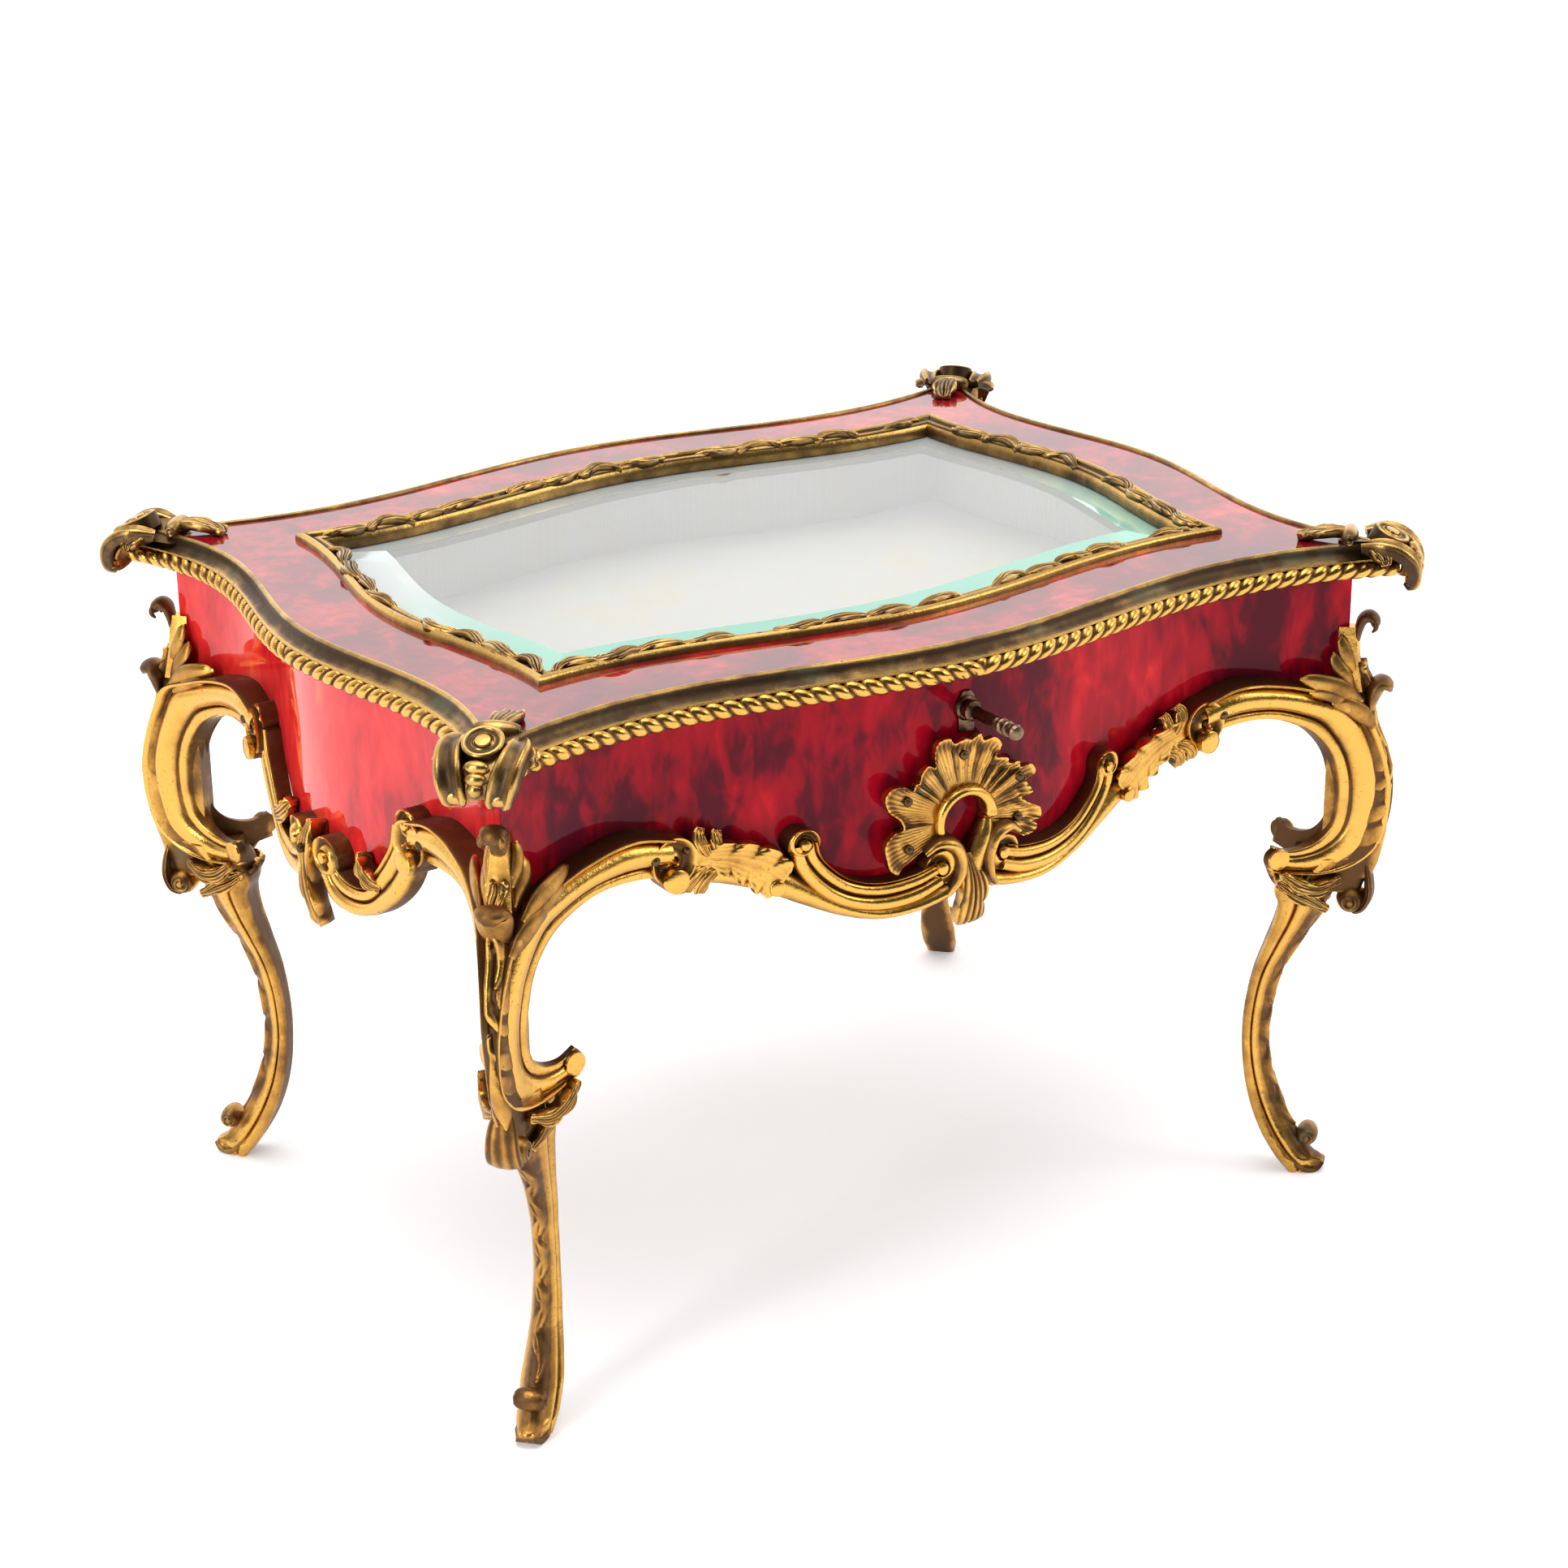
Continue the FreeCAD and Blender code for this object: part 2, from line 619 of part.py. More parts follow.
def build_cartouche(aprons):
    """The back cartouche: a lobed shell round an open ring, with a pendant leaf."""
    depth = long_bulge + cartouche_proud + overrun
    low = math.radians(cartouche_low_angle)
    rim = []
    for i in range(cartouche_points):
        angle = -low + (math.pi + 2 * low) * i / (cartouche_points - 1)
        lobe = 1 + cartouche_lobe_share * math.cos(cartouche_lobes * (angle - math.pi / 2))
        rim.append((cartouche_radius * lobe * math.cos(angle),
                    cartouche_height + cartouche_radius * lobe * cartouche_tall_share * math.sin(angle)))
    shell = upright([rim], long_waist, BACK, depth)
    wide = cartouche_tail_half_width
    tail = upright([[(-wide, cartouche_height), (-wide, cartouche_tail + 2 * wide), (0, cartouche_tail),
                     (wide, cartouche_tail + 2 * wide), (wide, cartouche_height)]], long_waist, BACK, depth)
    ring = Part.Ellipse(Vector(0, 0, 0), ring_half_height, ring_half_width).toShape()
    hole = Part.Face(Part.Wire(ring)).extrude(UP * (depth + overrun))
    hole.rotate(ORIGIN, UP, 90)
    hole.rotate(ORIGIN, RIGHT, -90)
    hole.translate(Vector(0, 0, cartouche_height))
    shell = shell.fuse(tail).cut(hole).common(wall_cover(cartouche_proud))
    for apron in aprons:
        shell = shell.cut(apron)
    return solid_of(shell)


# Lid
def corner_block(outward):
    """All that lies further out than outward from the back right corner, along the diagonal."""
    near = diagonal_point(outward, 0)
    points = [near - ACROSS * overrun, near + ACROSS * overrun,
              near + ACROSS * overrun + DIAGONAL * overrun, near - ACROSS * overrun + DIAGONAL * overrun]
    return Part.Face(Part.makePolygon(points + points[:1])).extrude(UP * (lid_top + overrun))


def build_lid():
    """Rails, tortoiseshell, edge mouldings, glass and its frame. Returns the solid that the mounts clear."""
    ledge_top = lid_floor + rail_ledge_height
    wood_top = lid_floor + lid_wood
    rails = band(glue_gap, rail_inner, ledge_top, wood_top).fuse(
        band(glue_gap, rail_ledge, lid_floor, ledge_top))
    skins = band(glue_gap, rail_inner, wood_top, lid_top)
    rope_axis = rope_radius - moulding_proud
    rope_z = lid_floor + rope_lift + rope_radius
    shoulder = rope_radius * rope_shoulder_share
    cavetto_foot = -moulding_proud * cavetto_foot_share
    edge = stack([
        (rope_axis, rope_z - rope_radius),
        (rope_axis - shoulder, rope_z - shoulder),
        (-moulding_proud, rope_z),
        (rope_axis - shoulder, rope_z + shoulder),
        (cavetto_foot, rope_z + rope_radius),
        (-moulding_proud * cavetto_mid_share, (rope_z + rope_radius + lid_top) / 2),
        (-fillet_width, lid_top - fillet_lift),
        (-fillet_width, lid_top + fillet_lift)])
    edge = edge.cut(slab(0, lid_floor - overrun, lid_top + overrun))
    for x_sign, y_sign in QUARTERS.values():
        edge = edge.cut(quarter(x_sign, y_sign, corner_block(moulding_end)))
    frame_top = lid_top + frame_rise
    frame = stack([
        (frame_outer, lid_top),
        (frame_outer, frame_top - frame_bead),
        (frame_outer + frame_bead, frame_top)])
    lip_z = ledge_top + glass_edge_thickness + frame_lip_gap + glass_play
    frame = frame.fuse(slab(rail_inner + glass_play, lip_z, lid_top + frame_rise / 2))
    frame = frame.cut(slab(frame_inner, lip_z - overrun, frame_top + overrun))
    frame = frame.cut(stack([(frame_inner, lid_top), (frame_inner - frame_hollow, frame_top + glue_gap)]))
    strips = []
    for side in SIDES:
        wedge = mitre_wedge(side, 0, rail_ledge)
        parts["lid_rail_" + side] = solid_of(rails.common(wedge))
        parts["lid_veneer_" + side] = solid_of(skins.common(wedge))
        parts["lid_moulding_" + side] = solid_of(edge.common(wedge))
        strips.append(solid_of(frame.common(wedge)))
    parts["glass_frame"] = Part.Compound(strips)
    glass_side = rail_inner + glass_play
    parts["lid_glass"] = stack([
        (glass_side, ledge_top),
        (glass_side, ledge_top + glass_edge_thickness),
        (glass_side + glass_bevel, ledge_top + glass_thickness)])
    return edge.fuse(slab(0, lid_floor, lid_top))


def build_lid_mount(lid_block):
    """The scroll astride the lid's back right corner."""
    low = case_rim - mount_droop
    points = []
    for a, b in mount_shares:
        points.append(((mount_tail if a < 0 else mount_reach) * a, lid_top + mount_crown * b))
    for a, b in mount_beak_shares:
        points.append((mount_reach * a, low + (lid_top - low) * b))
    side = diagonal_solid(points, mount_half_width)
    base = diagonal_point(0, low - overrun)
    ring = []
    for sign, shares in ((1, mount_plan_shares), (-1, mount_plan_shares[::-1])):
        run = []
        for a, w in shares:
            outward = (mount_tail if a < 0 else mount_reach) * a
            run.append(base + DIAGONAL * outward + ACROSS * (sign * mount_half_width * w))
        ring.append(run)
    plan = Part.Face(Part.Wire([
        curve(ring[0]), Part.makeLine(ring[0][-1], ring[1][0]), curve(ring[1]),
        Part.makeLine(ring[1][-1], ring[0][0])])).extrude(UP * (lid_top - low + 2 * overrun))
    return solid_of(side.common(plan).cut(lid_block))


# Lock, key and strike
def build_lock():
    """Lock in the front wall, with its bolt, key and keyhole collar, and the strike in the lid."""
    back = -lock_face
    plate = box(-lock_plate_half_length, lock_plate_half_length, back - lock_plate, back,
                lock_foot, case_rim)
    body = box(-lock_half_length, lock_half_length, back - lock_plate - lock_depth, back - lock_plate,
               lock_foot + lock_skin, case_rim)
    pocket = plate.fuse(body).fuse(box(-lock_plate_half_length, lock_plate_half_length, back, 0,
                                       lock_foot, case_rim + overrun))
    inner_half = lock_half_length - lock_skin
    cavity_front = back - lock_plate - lock_depth + lock_skin
    cavity = box(-inner_half, inner_half, cavity_front, back - lock_plate,
                 lock_foot + 2 * lock_skin, case_rim - lock_skin)
    slot_half = bolt_half_length + bolt_clearance
    bolt_front = cavity_front + bolt_clearance
    slot = box(-slot_half, slot_half, cavity_front, bolt_front + bolt_thickness + bolt_clearance,
               case_rim - 2 * lock_skin, case_rim + overrun)
    hole = round_bar(key_radius + key_clearance, Vector(0, cavity_front, key_height), -BACK, overrun)
    pivot_hole = round_bar(key_pivot_radius + key_clearance, Vector(0, back, key_height), -BACK,
                           2 * lock_plate)
    lock = plate.fuse(body).cut(cavity).cut(slot).cut(hole).cut(pivot_hole)
    parts["lock_case"] = solid_of(lock)

    bolt_top = case_rim - bolt_sink
    bolt = box(-bolt_half_length, bolt_half_length, bolt_front, bolt_front + bolt_thickness,
               bolt_foot, bolt_top)
    tail = box(bolt_tail_at, bolt_half_length, bolt_front, bolt_front + bolt_tail_thickness,
               bolt_foot - bolt_tail, bolt_foot)
    parts["lock_bolt"] = bolt.fuse(tail).removeSplitter()

    collar_front = -front_face - collar_proud
    shank_back = back - lock_plate - key_clearance
    tip = -front_face - key_reach
    axis = Vector(0, 0, key_height)
    key = round_bar(key_radius, axis + BACK * shank_back, -BACK, shank_back - tip)
    key = key.fuse(round_bar(key_pivot_radius, axis + BACK * back, -BACK, lock_plate + 2 * key_clearance))
    key = key.fuse(round_bar(key_collar_radius, axis + BACK * (collar_front - 2 * key_clearance), -BACK,
                             key_collar_length))
    for i in range(key_rings):
        ring_back = axis + BACK * (tip + key_ring_length * (2 * i + 2))
        key = key.fuse(round_bar(key_ring_radius, ring_back, -BACK, key_ring_length))
    bit_back = shank_back - key_clearance
    key = key.fuse(box(0, key_bit_radius, bit_back - key_bit_length, bit_back,
                       key_height - key_bit_half_height, key_height + key_bit_half_height))
    parts["key"] = solid_of(key.removeSplitter())
    collar = round_bar(collar_radius, axis - BACK * front_face, -BACK, collar_proud)
    parts["keyhole_collar"] = collar.cut(hole)

    parts["wall_front"] = solid_of(parts["wall_front"].cut(pocket).cut(hole))
    parts["veneer_front"] = solid_of(parts["veneer_front"].cut(hole))
    linings = [strip.cut(pocket) for strip in parts["wall_linings"].Solids]
    parts["wall_linings"] = Part.Compound([solid_of(strip) for strip in linings])

    mid = bolt_front + bolt_thickness / 2
    strike = box(-strike_half_length, strike_half_length, mid - strike_half_width, mid + strike_half_width,
                 lid_floor, lid_floor + strike_plate)
    mortise_half = bolt_thickness / 2 + 2 * bolt_clearance
    mortise = box(-slot_half - bolt_clearance, slot_half + bolt_clearance,
                  mid - mortise_half, mid + mortise_half, lid_floor, lid_floor + bolt_throw + strike_room)
    parts["lid_rail_front"] = solid_of(parts["lid_rail_front"].cut(strike).cut(mortise))
    parts["lock_strike"] = strike.cut(mortise)
    return mid


# Hinges, screws and pins
def build_hinges():
    """Two hinges on the back rim; the leaves lie in the wall and in the lid's rail."""
    case_leaves, lid_leaves, hinge_pins = [], [], []
    third = hinge_half_length / 3
    for sign in (-1, 1):
        middle = sign * hinge_at
        x0, x1 = middle - hinge_half_length, middle + hinge_half_length
        axis = Vector(x0, hinge_axis_y, hinge_axis_z)
        inner_edge = hinge_axis_y - hinge_leaf_run
        case_leaf = box(x0, x1, inner_edge, hinge_axis_y, hinge_axis_z - leaf_gap - hinge_leaf,
                        hinge_axis_z - leaf_gap)
        lid_leaf = box(x0, x1, inner_edge, hinge_axis_y, hinge_axis_z + leaf_gap,
                       hinge_axis_z + leaf_gap + hinge_leaf)
        barrel = round_bar(knuckle_radius, axis, RIGHT, 2 * hinge_half_length)
        near = hinge_axis_y - knuckle_radius - knuckle_clearance
        far = hinge_axis_y + overrun
        low, high = hinge_axis_z - overrun, hinge_axis_z + overrun
        middle_half = third + knuckle_side_gap
        middle_room = box(middle - middle_half, middle + middle_half, near, far, low, high)
        end_room = box(x0 - overrun, middle - third, near, far, low, high).fuse(
            box(middle + third, x1 + overrun, near, far, low, high))
        bore = round_bar(hinge_pin_radius + hinge_pin_clearance, axis - RIGHT * overrun, RIGHT,
                         2 * hinge_half_length + 2 * overrun)
        case_leaves.append(solid_of(case_leaf.fuse(barrel).cut(middle_room).cut(bore)))
        lid_leaves.append(solid_of(lid_leaf.fuse(barrel).cut(end_room).cut(bore)))
        pin = round_bar(hinge_pin_radius, axis, RIGHT, 2 * hinge_half_length)
        for end, way in ((axis, -RIGHT), (axis + RIGHT * (2 * hinge_half_length), RIGHT)):
            pin = pin.fuse(round_bar(hinge_pin_head_radius, end, way, hinge_pin_head))
        hinge_pins.append(pin.removeSplitter())
        past = hinge_pin_head + knuckle_clearance
        room = round_bar(knuckle_radius + knuckle_clearance, axis - RIGHT * past, RIGHT,
                         2 * (hinge_half_length + past))
        for node in ("wall_back", "veneer_back"):
            parts[node] = solid_of(parts[node].cut(case_leaf).cut(room))
        for node in ("lid_rail_back", "lid_moulding_back"):
            parts[node] = solid_of(parts[node].cut(lid_leaf).cut(room))
    parts["hinge_pins"] = Part.Compound(hinge_pins)
    return case_leaves, lid_leaves


def screw(start, way, grow):
    """Countersunk screw whose head starts at start and points along way."""
    head = round_bar(screw_head_radius + grow, start, way, screw_head)
    return head.fuse(round_bar(screw_radius + grow, start, way, screw_length + grow)).removeSplitter()


def build_screws(case_leaves, lid_leaves, strike_y):
    case_places, lid_places = [], []
    for sign in (-1, 1):
        for step in (-1, 0, 1):
            x, y = sign * hinge_at + step * screw_step, hinge_axis_y - screw_at
            case_places.append((Vector(x, y, hinge_axis_z - leaf_gap), -UP))
            lid_places.append((Vector(x, y, hinge_axis_z + leaf_gap), UP))
        for z in (lock_foot + lock_skin + screw_head_radius, case_rim - lock_skin - screw_head_radius):
            case_places.append((Vector(sign * lock_screw_at, -lock_face, z), -BACK))
        lid_places.append((Vector(sign * strike_screw_at, strike_y, lid_floor), UP))
    holes = Part.Compound([screw(start, way, screw_clearance) for start, way in case_places])
    for node in ("wall_back", "wall_front", "lock_case"):
        parts[node] = solid_of(parts[node].cut(holes))
    parts["hinge_case_leaves"] = Part.Compound([solid_of(leaf.cut(holes)) for leaf in case_leaves])
    parts["case_screws"] = Part.Compound([screw(start, way, 0) for start, way in case_places])
    holes = Part.Compound([screw(start, way, screw_clearance) for start, way in lid_places])
    for node in ("lid_rail_back", "lid_rail_front", "lock_strike"):
        parts[node] = solid_of(parts[node].cut(holes))
    parts["hinge_lid_leaves"] = Part.Compound([solid_of(leaf.cut(holes)) for leaf in lid_leaves])
    parts["lid_screws"] = Part.Compound([screw(start, way, 0) for start, way in lid_places])


def pin(face_point, way, depth, grow):
    """Round-headed pin: its head is sunk a little in the face, its shank reaches in by depth."""
    head = round_bar(pin_head_radius + grow, face_point + way * pin_sink, -way, pin_head)
    return head.fuse(round_bar(pin_radius + grow, face_point, way, depth + grow)).removeSplitter()


def drive_pins(node, places):
    """Cut the holes for pins given as face point, way, depth and the nodes that they go through."""
    made = []
    for face_point, way, depth, through in places:
        hole = pin(face_point, way, depth, screw_clearance)
        for name in through:
            cut = [solid.cut(hole) for solid in parts[name].Solids]
            solids = [solid_of(shape) for shape in cut]
            parts[name] = solids[0] if len(solids) == 1 else Part.Compound(solids)
        made.append(pin(face_point, way, depth, 0))
    parts[node] = Part.Compound(made)


def case_pin_places():
    places = []
    x_corner, y_corner = corner(case_inset)
    for name, (x_sign, y_sign) in QUARTERS.items():
        long_side, short_side = name.split("_")
        along = wing_reach * arm_pin_shares[0]
        z = wing_foot + wing_rise * arm_pin_shares[1]
        x = x_corner - along
        y = half_depth(x) - case_inset + leg_proud
        places.append((Vector(x_sign * x, y_sign * y, z), BACK * -y_sign, leg_proud + veneer + pin_bite,
                       ("leg_" + name, "veneer_" + long_side, "wall_" + long_side)))
        y = y_corner - along
        x = half_length(y) - case_inset + leg_proud
        places.append((Vector(x_sign * x, y_sign * y, z), RIGHT * -x_sign, leg_proud + veneer + pin_bite,
                       ("leg_" + name, "veneer_" + short_side, "wall_" + short_side)))
        outward = chute_reach * chute_pin_shares[0]
        inward = Vector(-x_sign, -y_sign, 0).normalize()
        z = chute_foot + (chute_top - chute_foot) * chute_pin_shares[1]
        places.append((Vector(x_sign * x_corner, y_sign * y_corner, z) - inward * outward, inward,
                       outward + 2 * veneer + pin_bite,
                       ("chute_" + name, "veneer_" + long_side, "veneer_" + short_side,
                        "wall_" + long_side, "wall_" + short_side)))
        for share in apron_pin_shares:
            x = apron_half * share[0]
            y = half_depth(x) - case_inset + apron_proud
            z = apron_foot + apron_rise * share[1]
            places.append((Vector(x_sign * x, y_sign * y, z), BACK * -y_sign,
                           apron_proud + veneer + pin_bite,
                           ("apron_" + name, "veneer_" + long_side, "wall_" + long_side)))
    for side, y_sign in (("front", -1), ("back", 1)):
        for share in cartouche_pin_shares:
            x = cartouche_radius * share[0]
            y = half_depth(x) - case_inset + cartouche_proud
            z = cartouche_height + cartouche_radius * share[1]
            places.append((Vector(x, y_sign * y, z), BACK * -y_sign, cartouche_proud + veneer + pin_bite,
                           ("cartouche_" + side, "veneer_" + side, "wall_" + side)))
    for side, x_sign in (("left", -1), ("right", 1)):
        x = lid_half_length - case_inset + side_apron_proud
        places.append((Vector(x_sign * x, 0, side_pin_height), RIGHT * -x_sign,
                       side_apron_proud + veneer + pin_bite,
                       ("apron_" + side, "veneer_" + side, "wall_" + side)))
    return places


def lid_pin_places():
    places = []
    frame_top = lid_top + frame_rise
    inset = frame_outer + (frame_inner - frame_outer) * frame_pin_share
    deep = frame_rise + lid_veneer + pin_bite
    for sign in (-1, 1):
        side = "front" if sign < 0 else "back"
        for end in (-1, 1):
            x = end * long_waist_at * frame_pin_run_share
            places.append((Vector(x, sign * (half_depth(x) - inset), frame_top), -UP, deep,
                           ("glass_frame", "lid_veneer_" + side, "lid_rail_" + side)))
        side = "left" if sign < 0 else "right"
        for end in (-1, 1):
            y = end * short_waist_at * frame_pin_run_share
            places.append((Vector(sign * (half_length(y) - inset), y, frame_top), -UP, deep,
                           ("glass_frame", "lid_veneer_" + side, "lid_rail_" + side)))
    return places


def build_all():
    build_case()
    leg = build_leg()
    chute = build_chute(leg)
    apron = build_apron(leg)
    for name, (x_sign, y_sign) in QUARTERS.items():
        parts["leg_" + name] = quarter(x_sign, y_sign, leg)
        parts["chute_" + name] = quarter(x_sign, y_sign, chute)
        parts["apron_" + name] = quarter(x_sign, y_sign, apron)
    parts["apron_right"] = build_side_apron([leg, quarter(1, -1, leg)])
    parts["apron_left"] = parts["apron_right"].mirror(ORIGIN, RIGHT)
    parts["cartouche_back"] = build_cartouche([apron, quarter(-1, 1, apron)])
    parts["cartouche_front"] = parts["cartouche_back"].mirror(ORIGIN, BACK)
    lid_block = build_lid()
    mount = build_lid_mount(lid_block)
    for name, (x_sign, y_sign) in QUARTERS.items():
        parts["lid_mount_" + name] = quarter(x_sign, y_sign, mount)
    strike_y = build_lock()
    case_leaves, lid_leaves = build_hinges()
    build_screws(case_leaves, lid_leaves, strike_y)
    drive_pins("mount_pins", case_pin_places())
    drive_pins("lid_pins", lid_pin_places())


build_all()
reach = Part.Compound(list(parts.values())).optimalBoundingBox()
to_origin = Vector(-reach.Center.x, -reach.Center.y, -reach.ZMin)
os.makedirs("parts", exist_ok=True)
for node, shape in parts.items():
    shape.translate(to_origin)
    shape.exportStep("parts/" + node + ".step")
print("nodes", len(parts), "moved by", to_origin, "overall", reach.XLength, reach.YLength, reach.ZLength)
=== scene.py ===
"""Looks of a table-shaped jewellery display case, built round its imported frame."""

import json
import logging
import math
from dataclasses import dataclass
from enum import Enum
from functools import reduce
from typing import Callable, Optional, Sequence

import bmesh
import bpy
import numpy as np
from mathutils import Matrix, Vector

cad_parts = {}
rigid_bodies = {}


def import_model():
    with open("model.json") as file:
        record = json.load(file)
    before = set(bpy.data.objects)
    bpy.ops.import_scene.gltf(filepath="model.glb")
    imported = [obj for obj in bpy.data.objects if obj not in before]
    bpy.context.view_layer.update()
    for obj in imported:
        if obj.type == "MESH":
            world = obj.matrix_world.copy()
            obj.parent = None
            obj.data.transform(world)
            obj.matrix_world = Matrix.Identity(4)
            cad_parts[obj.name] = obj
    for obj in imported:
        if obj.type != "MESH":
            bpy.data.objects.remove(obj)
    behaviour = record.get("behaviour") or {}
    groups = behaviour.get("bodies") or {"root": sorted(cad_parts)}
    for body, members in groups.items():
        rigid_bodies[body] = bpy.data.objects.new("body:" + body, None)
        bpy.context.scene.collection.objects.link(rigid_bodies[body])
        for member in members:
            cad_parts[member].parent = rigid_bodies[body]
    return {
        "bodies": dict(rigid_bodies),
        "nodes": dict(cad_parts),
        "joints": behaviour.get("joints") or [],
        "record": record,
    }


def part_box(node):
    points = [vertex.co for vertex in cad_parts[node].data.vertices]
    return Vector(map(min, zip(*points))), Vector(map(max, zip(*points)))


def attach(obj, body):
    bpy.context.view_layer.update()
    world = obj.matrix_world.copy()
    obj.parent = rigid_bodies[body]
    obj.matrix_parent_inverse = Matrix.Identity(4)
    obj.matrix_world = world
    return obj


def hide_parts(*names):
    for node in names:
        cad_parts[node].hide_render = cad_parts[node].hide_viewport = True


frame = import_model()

LOG = logging.getLogger("jewellery_case")
MM = 0.001
SHIFT_Y = 5.4647  # mm: the shapes are drawn about the middle of the case, the frame about the overall box
NO_END = 1e9  # mm: farther than any line runs
TINY = 1e-9
SPAN_STEPS = 16  # points on each span of a smooth line
REAR_PAINTED_SHADE = 0.12  # tone of a plate's rear, as a share of its face's: painted shade, so rears and sides go dark
CREASE = 42.0  # degrees: edges sharper than this stay sharp
# Kinds of values; a table's rows are mixed, and a shape is a path with the knots of its half width and half depth
Array = np.ndarray
Row = Sequence[float]
Points = Sequence[Row]
Table = Sequence[tuple]
Shape = tuple[Points, Points, Points]
Colour = tuple[float, float, float, float]
Place = Callable[[Array, Array, Array], Array]
Socket = bpy.types.NodeSocket
Node = bpy.types.Node
Tree = bpy.types.NodeTree
Piece = bpy.types.Object


class Side(Enum):
    """The four sides of the case."""

    FRONT = "front"
    BACK = "back"
    LEFT = "left"
    RIGHT = "right"

    @property
    def lengthwise(self) -> bool:
        """True for the front and the back."""
        return self in (Side.FRONT, Side.BACK)


class Corner(Enum):
    """The four corners of the case, with the signs of their X and Y."""

    FRONT_LEFT = (-1, -1)
    FRONT_RIGHT = (1, -1)
    BACK_LEFT = (-1, 1)
    BACK_RIGHT = (1, 1)

    @property
    def label(self) -> str:
        """Name used in the frame's nodes."""
        return self.name.lower()

    @property
    def flips(self) -> tuple[bool, bool]:
        """Whether the back right corner is mirrored in X and in Y to give this one."""
        return self.value[0] < 0, self.value[1] < 0


class Body(Enum):
    """The moving bodies of the frame."""

    CASE = "case"
    LID = "lid"
    KEY = "key"


# Curves


def run_length(line: Array) -> Array:
    """Length of a line of points up to each of them."""
    return np.r_[0, np.cumsum(np.linalg.norm(np.diff(line, axis=0), axis=1))]


def around(count: int) -> Array:
    """Angles of even points once round a circle."""
    return np.linspace(0, 2 * np.pi, count, endpoint=False)


def between(t: Array, start: float, end: float, first: Array, last: Array) -> Array:
    """Values that run evenly from the first at the start to the last at the end."""
    return (end - t) / (end - start) * first + (t - start) / (end - start) * last


def smooth_run(points: Points, count: int) -> Array:
    """Even points on a smooth line through the given ones.

    Args:
        points: Points of any dimension, in order.
        count: How many points to give back.

    Returns:
        Array of count points.
    """
    p = np.asarray(points, float)
    wide = np.vstack([2 * p[0] - p[1], p, 2 * p[-1] - p[-2]])
    fine = []
    for i in range(len(p) - 1):
        p0, p1, p2, p3 = wide[i:i + 4]
        t1 = max(np.linalg.norm(p1 - p0), TINY) ** 0.5
        t2 = t1 + max(np.linalg.norm(p2 - p1), TINY) ** 0.5
        t3 = t2 + max(np.linalg.norm(p3 - p2), TINY) ** 0.5
        t = np.linspace(t1, t2, SPAN_STEPS, endpoint=False)[:, None]
        a1, a2, a3 = between(t, 0, t1, p0, p1), between(t, t1, t2, p1, p2), between(t, t2, t3, p2, p3)
        b1, b2 = between(t, 0, t2, a1, a2), between(t, t1, t3, a2, a3)
        fine.append(between(t, t1, t2, b1, b2))
    line = np.vstack(fine + [p[-1:]])
    run = run_length(line)
    want = np.linspace(0, run[-1], count)
    return np.stack([np.interp(want, run, line[:, k]) for k in range(line.shape[1])], 1)


def graded(knots: Points, at: Array) -> Array:
    """Value at each place of a line given by knots of place and value."""
    k = np.asarray(knots, float)
    return np.interp(at, k[:, 0], k[:, 1])


def unit(vectors: Array) -> Array:
    """The vectors at length one."""
    return vectors / np.maximum(np.linalg.norm(vectors, axis=-1, keepdims=True), 1e-12)


def moved(middle: Array, *moves: tuple[Array, Array]) -> Array:
    """Points of a line moved along directions, each given with its amounts."""
    return sum((way[:, None] * far[..., None] for way, far in moves), middle[:, None])


def scallop(phase: Array, sharp: float = 0.6) -> Array:
    """Row of rounded lobes with narrow notches: 0 at whole phases, 1 between them."""
    return np.abs(np.sin(np.pi * phase)) ** sharp


# Plan of the case


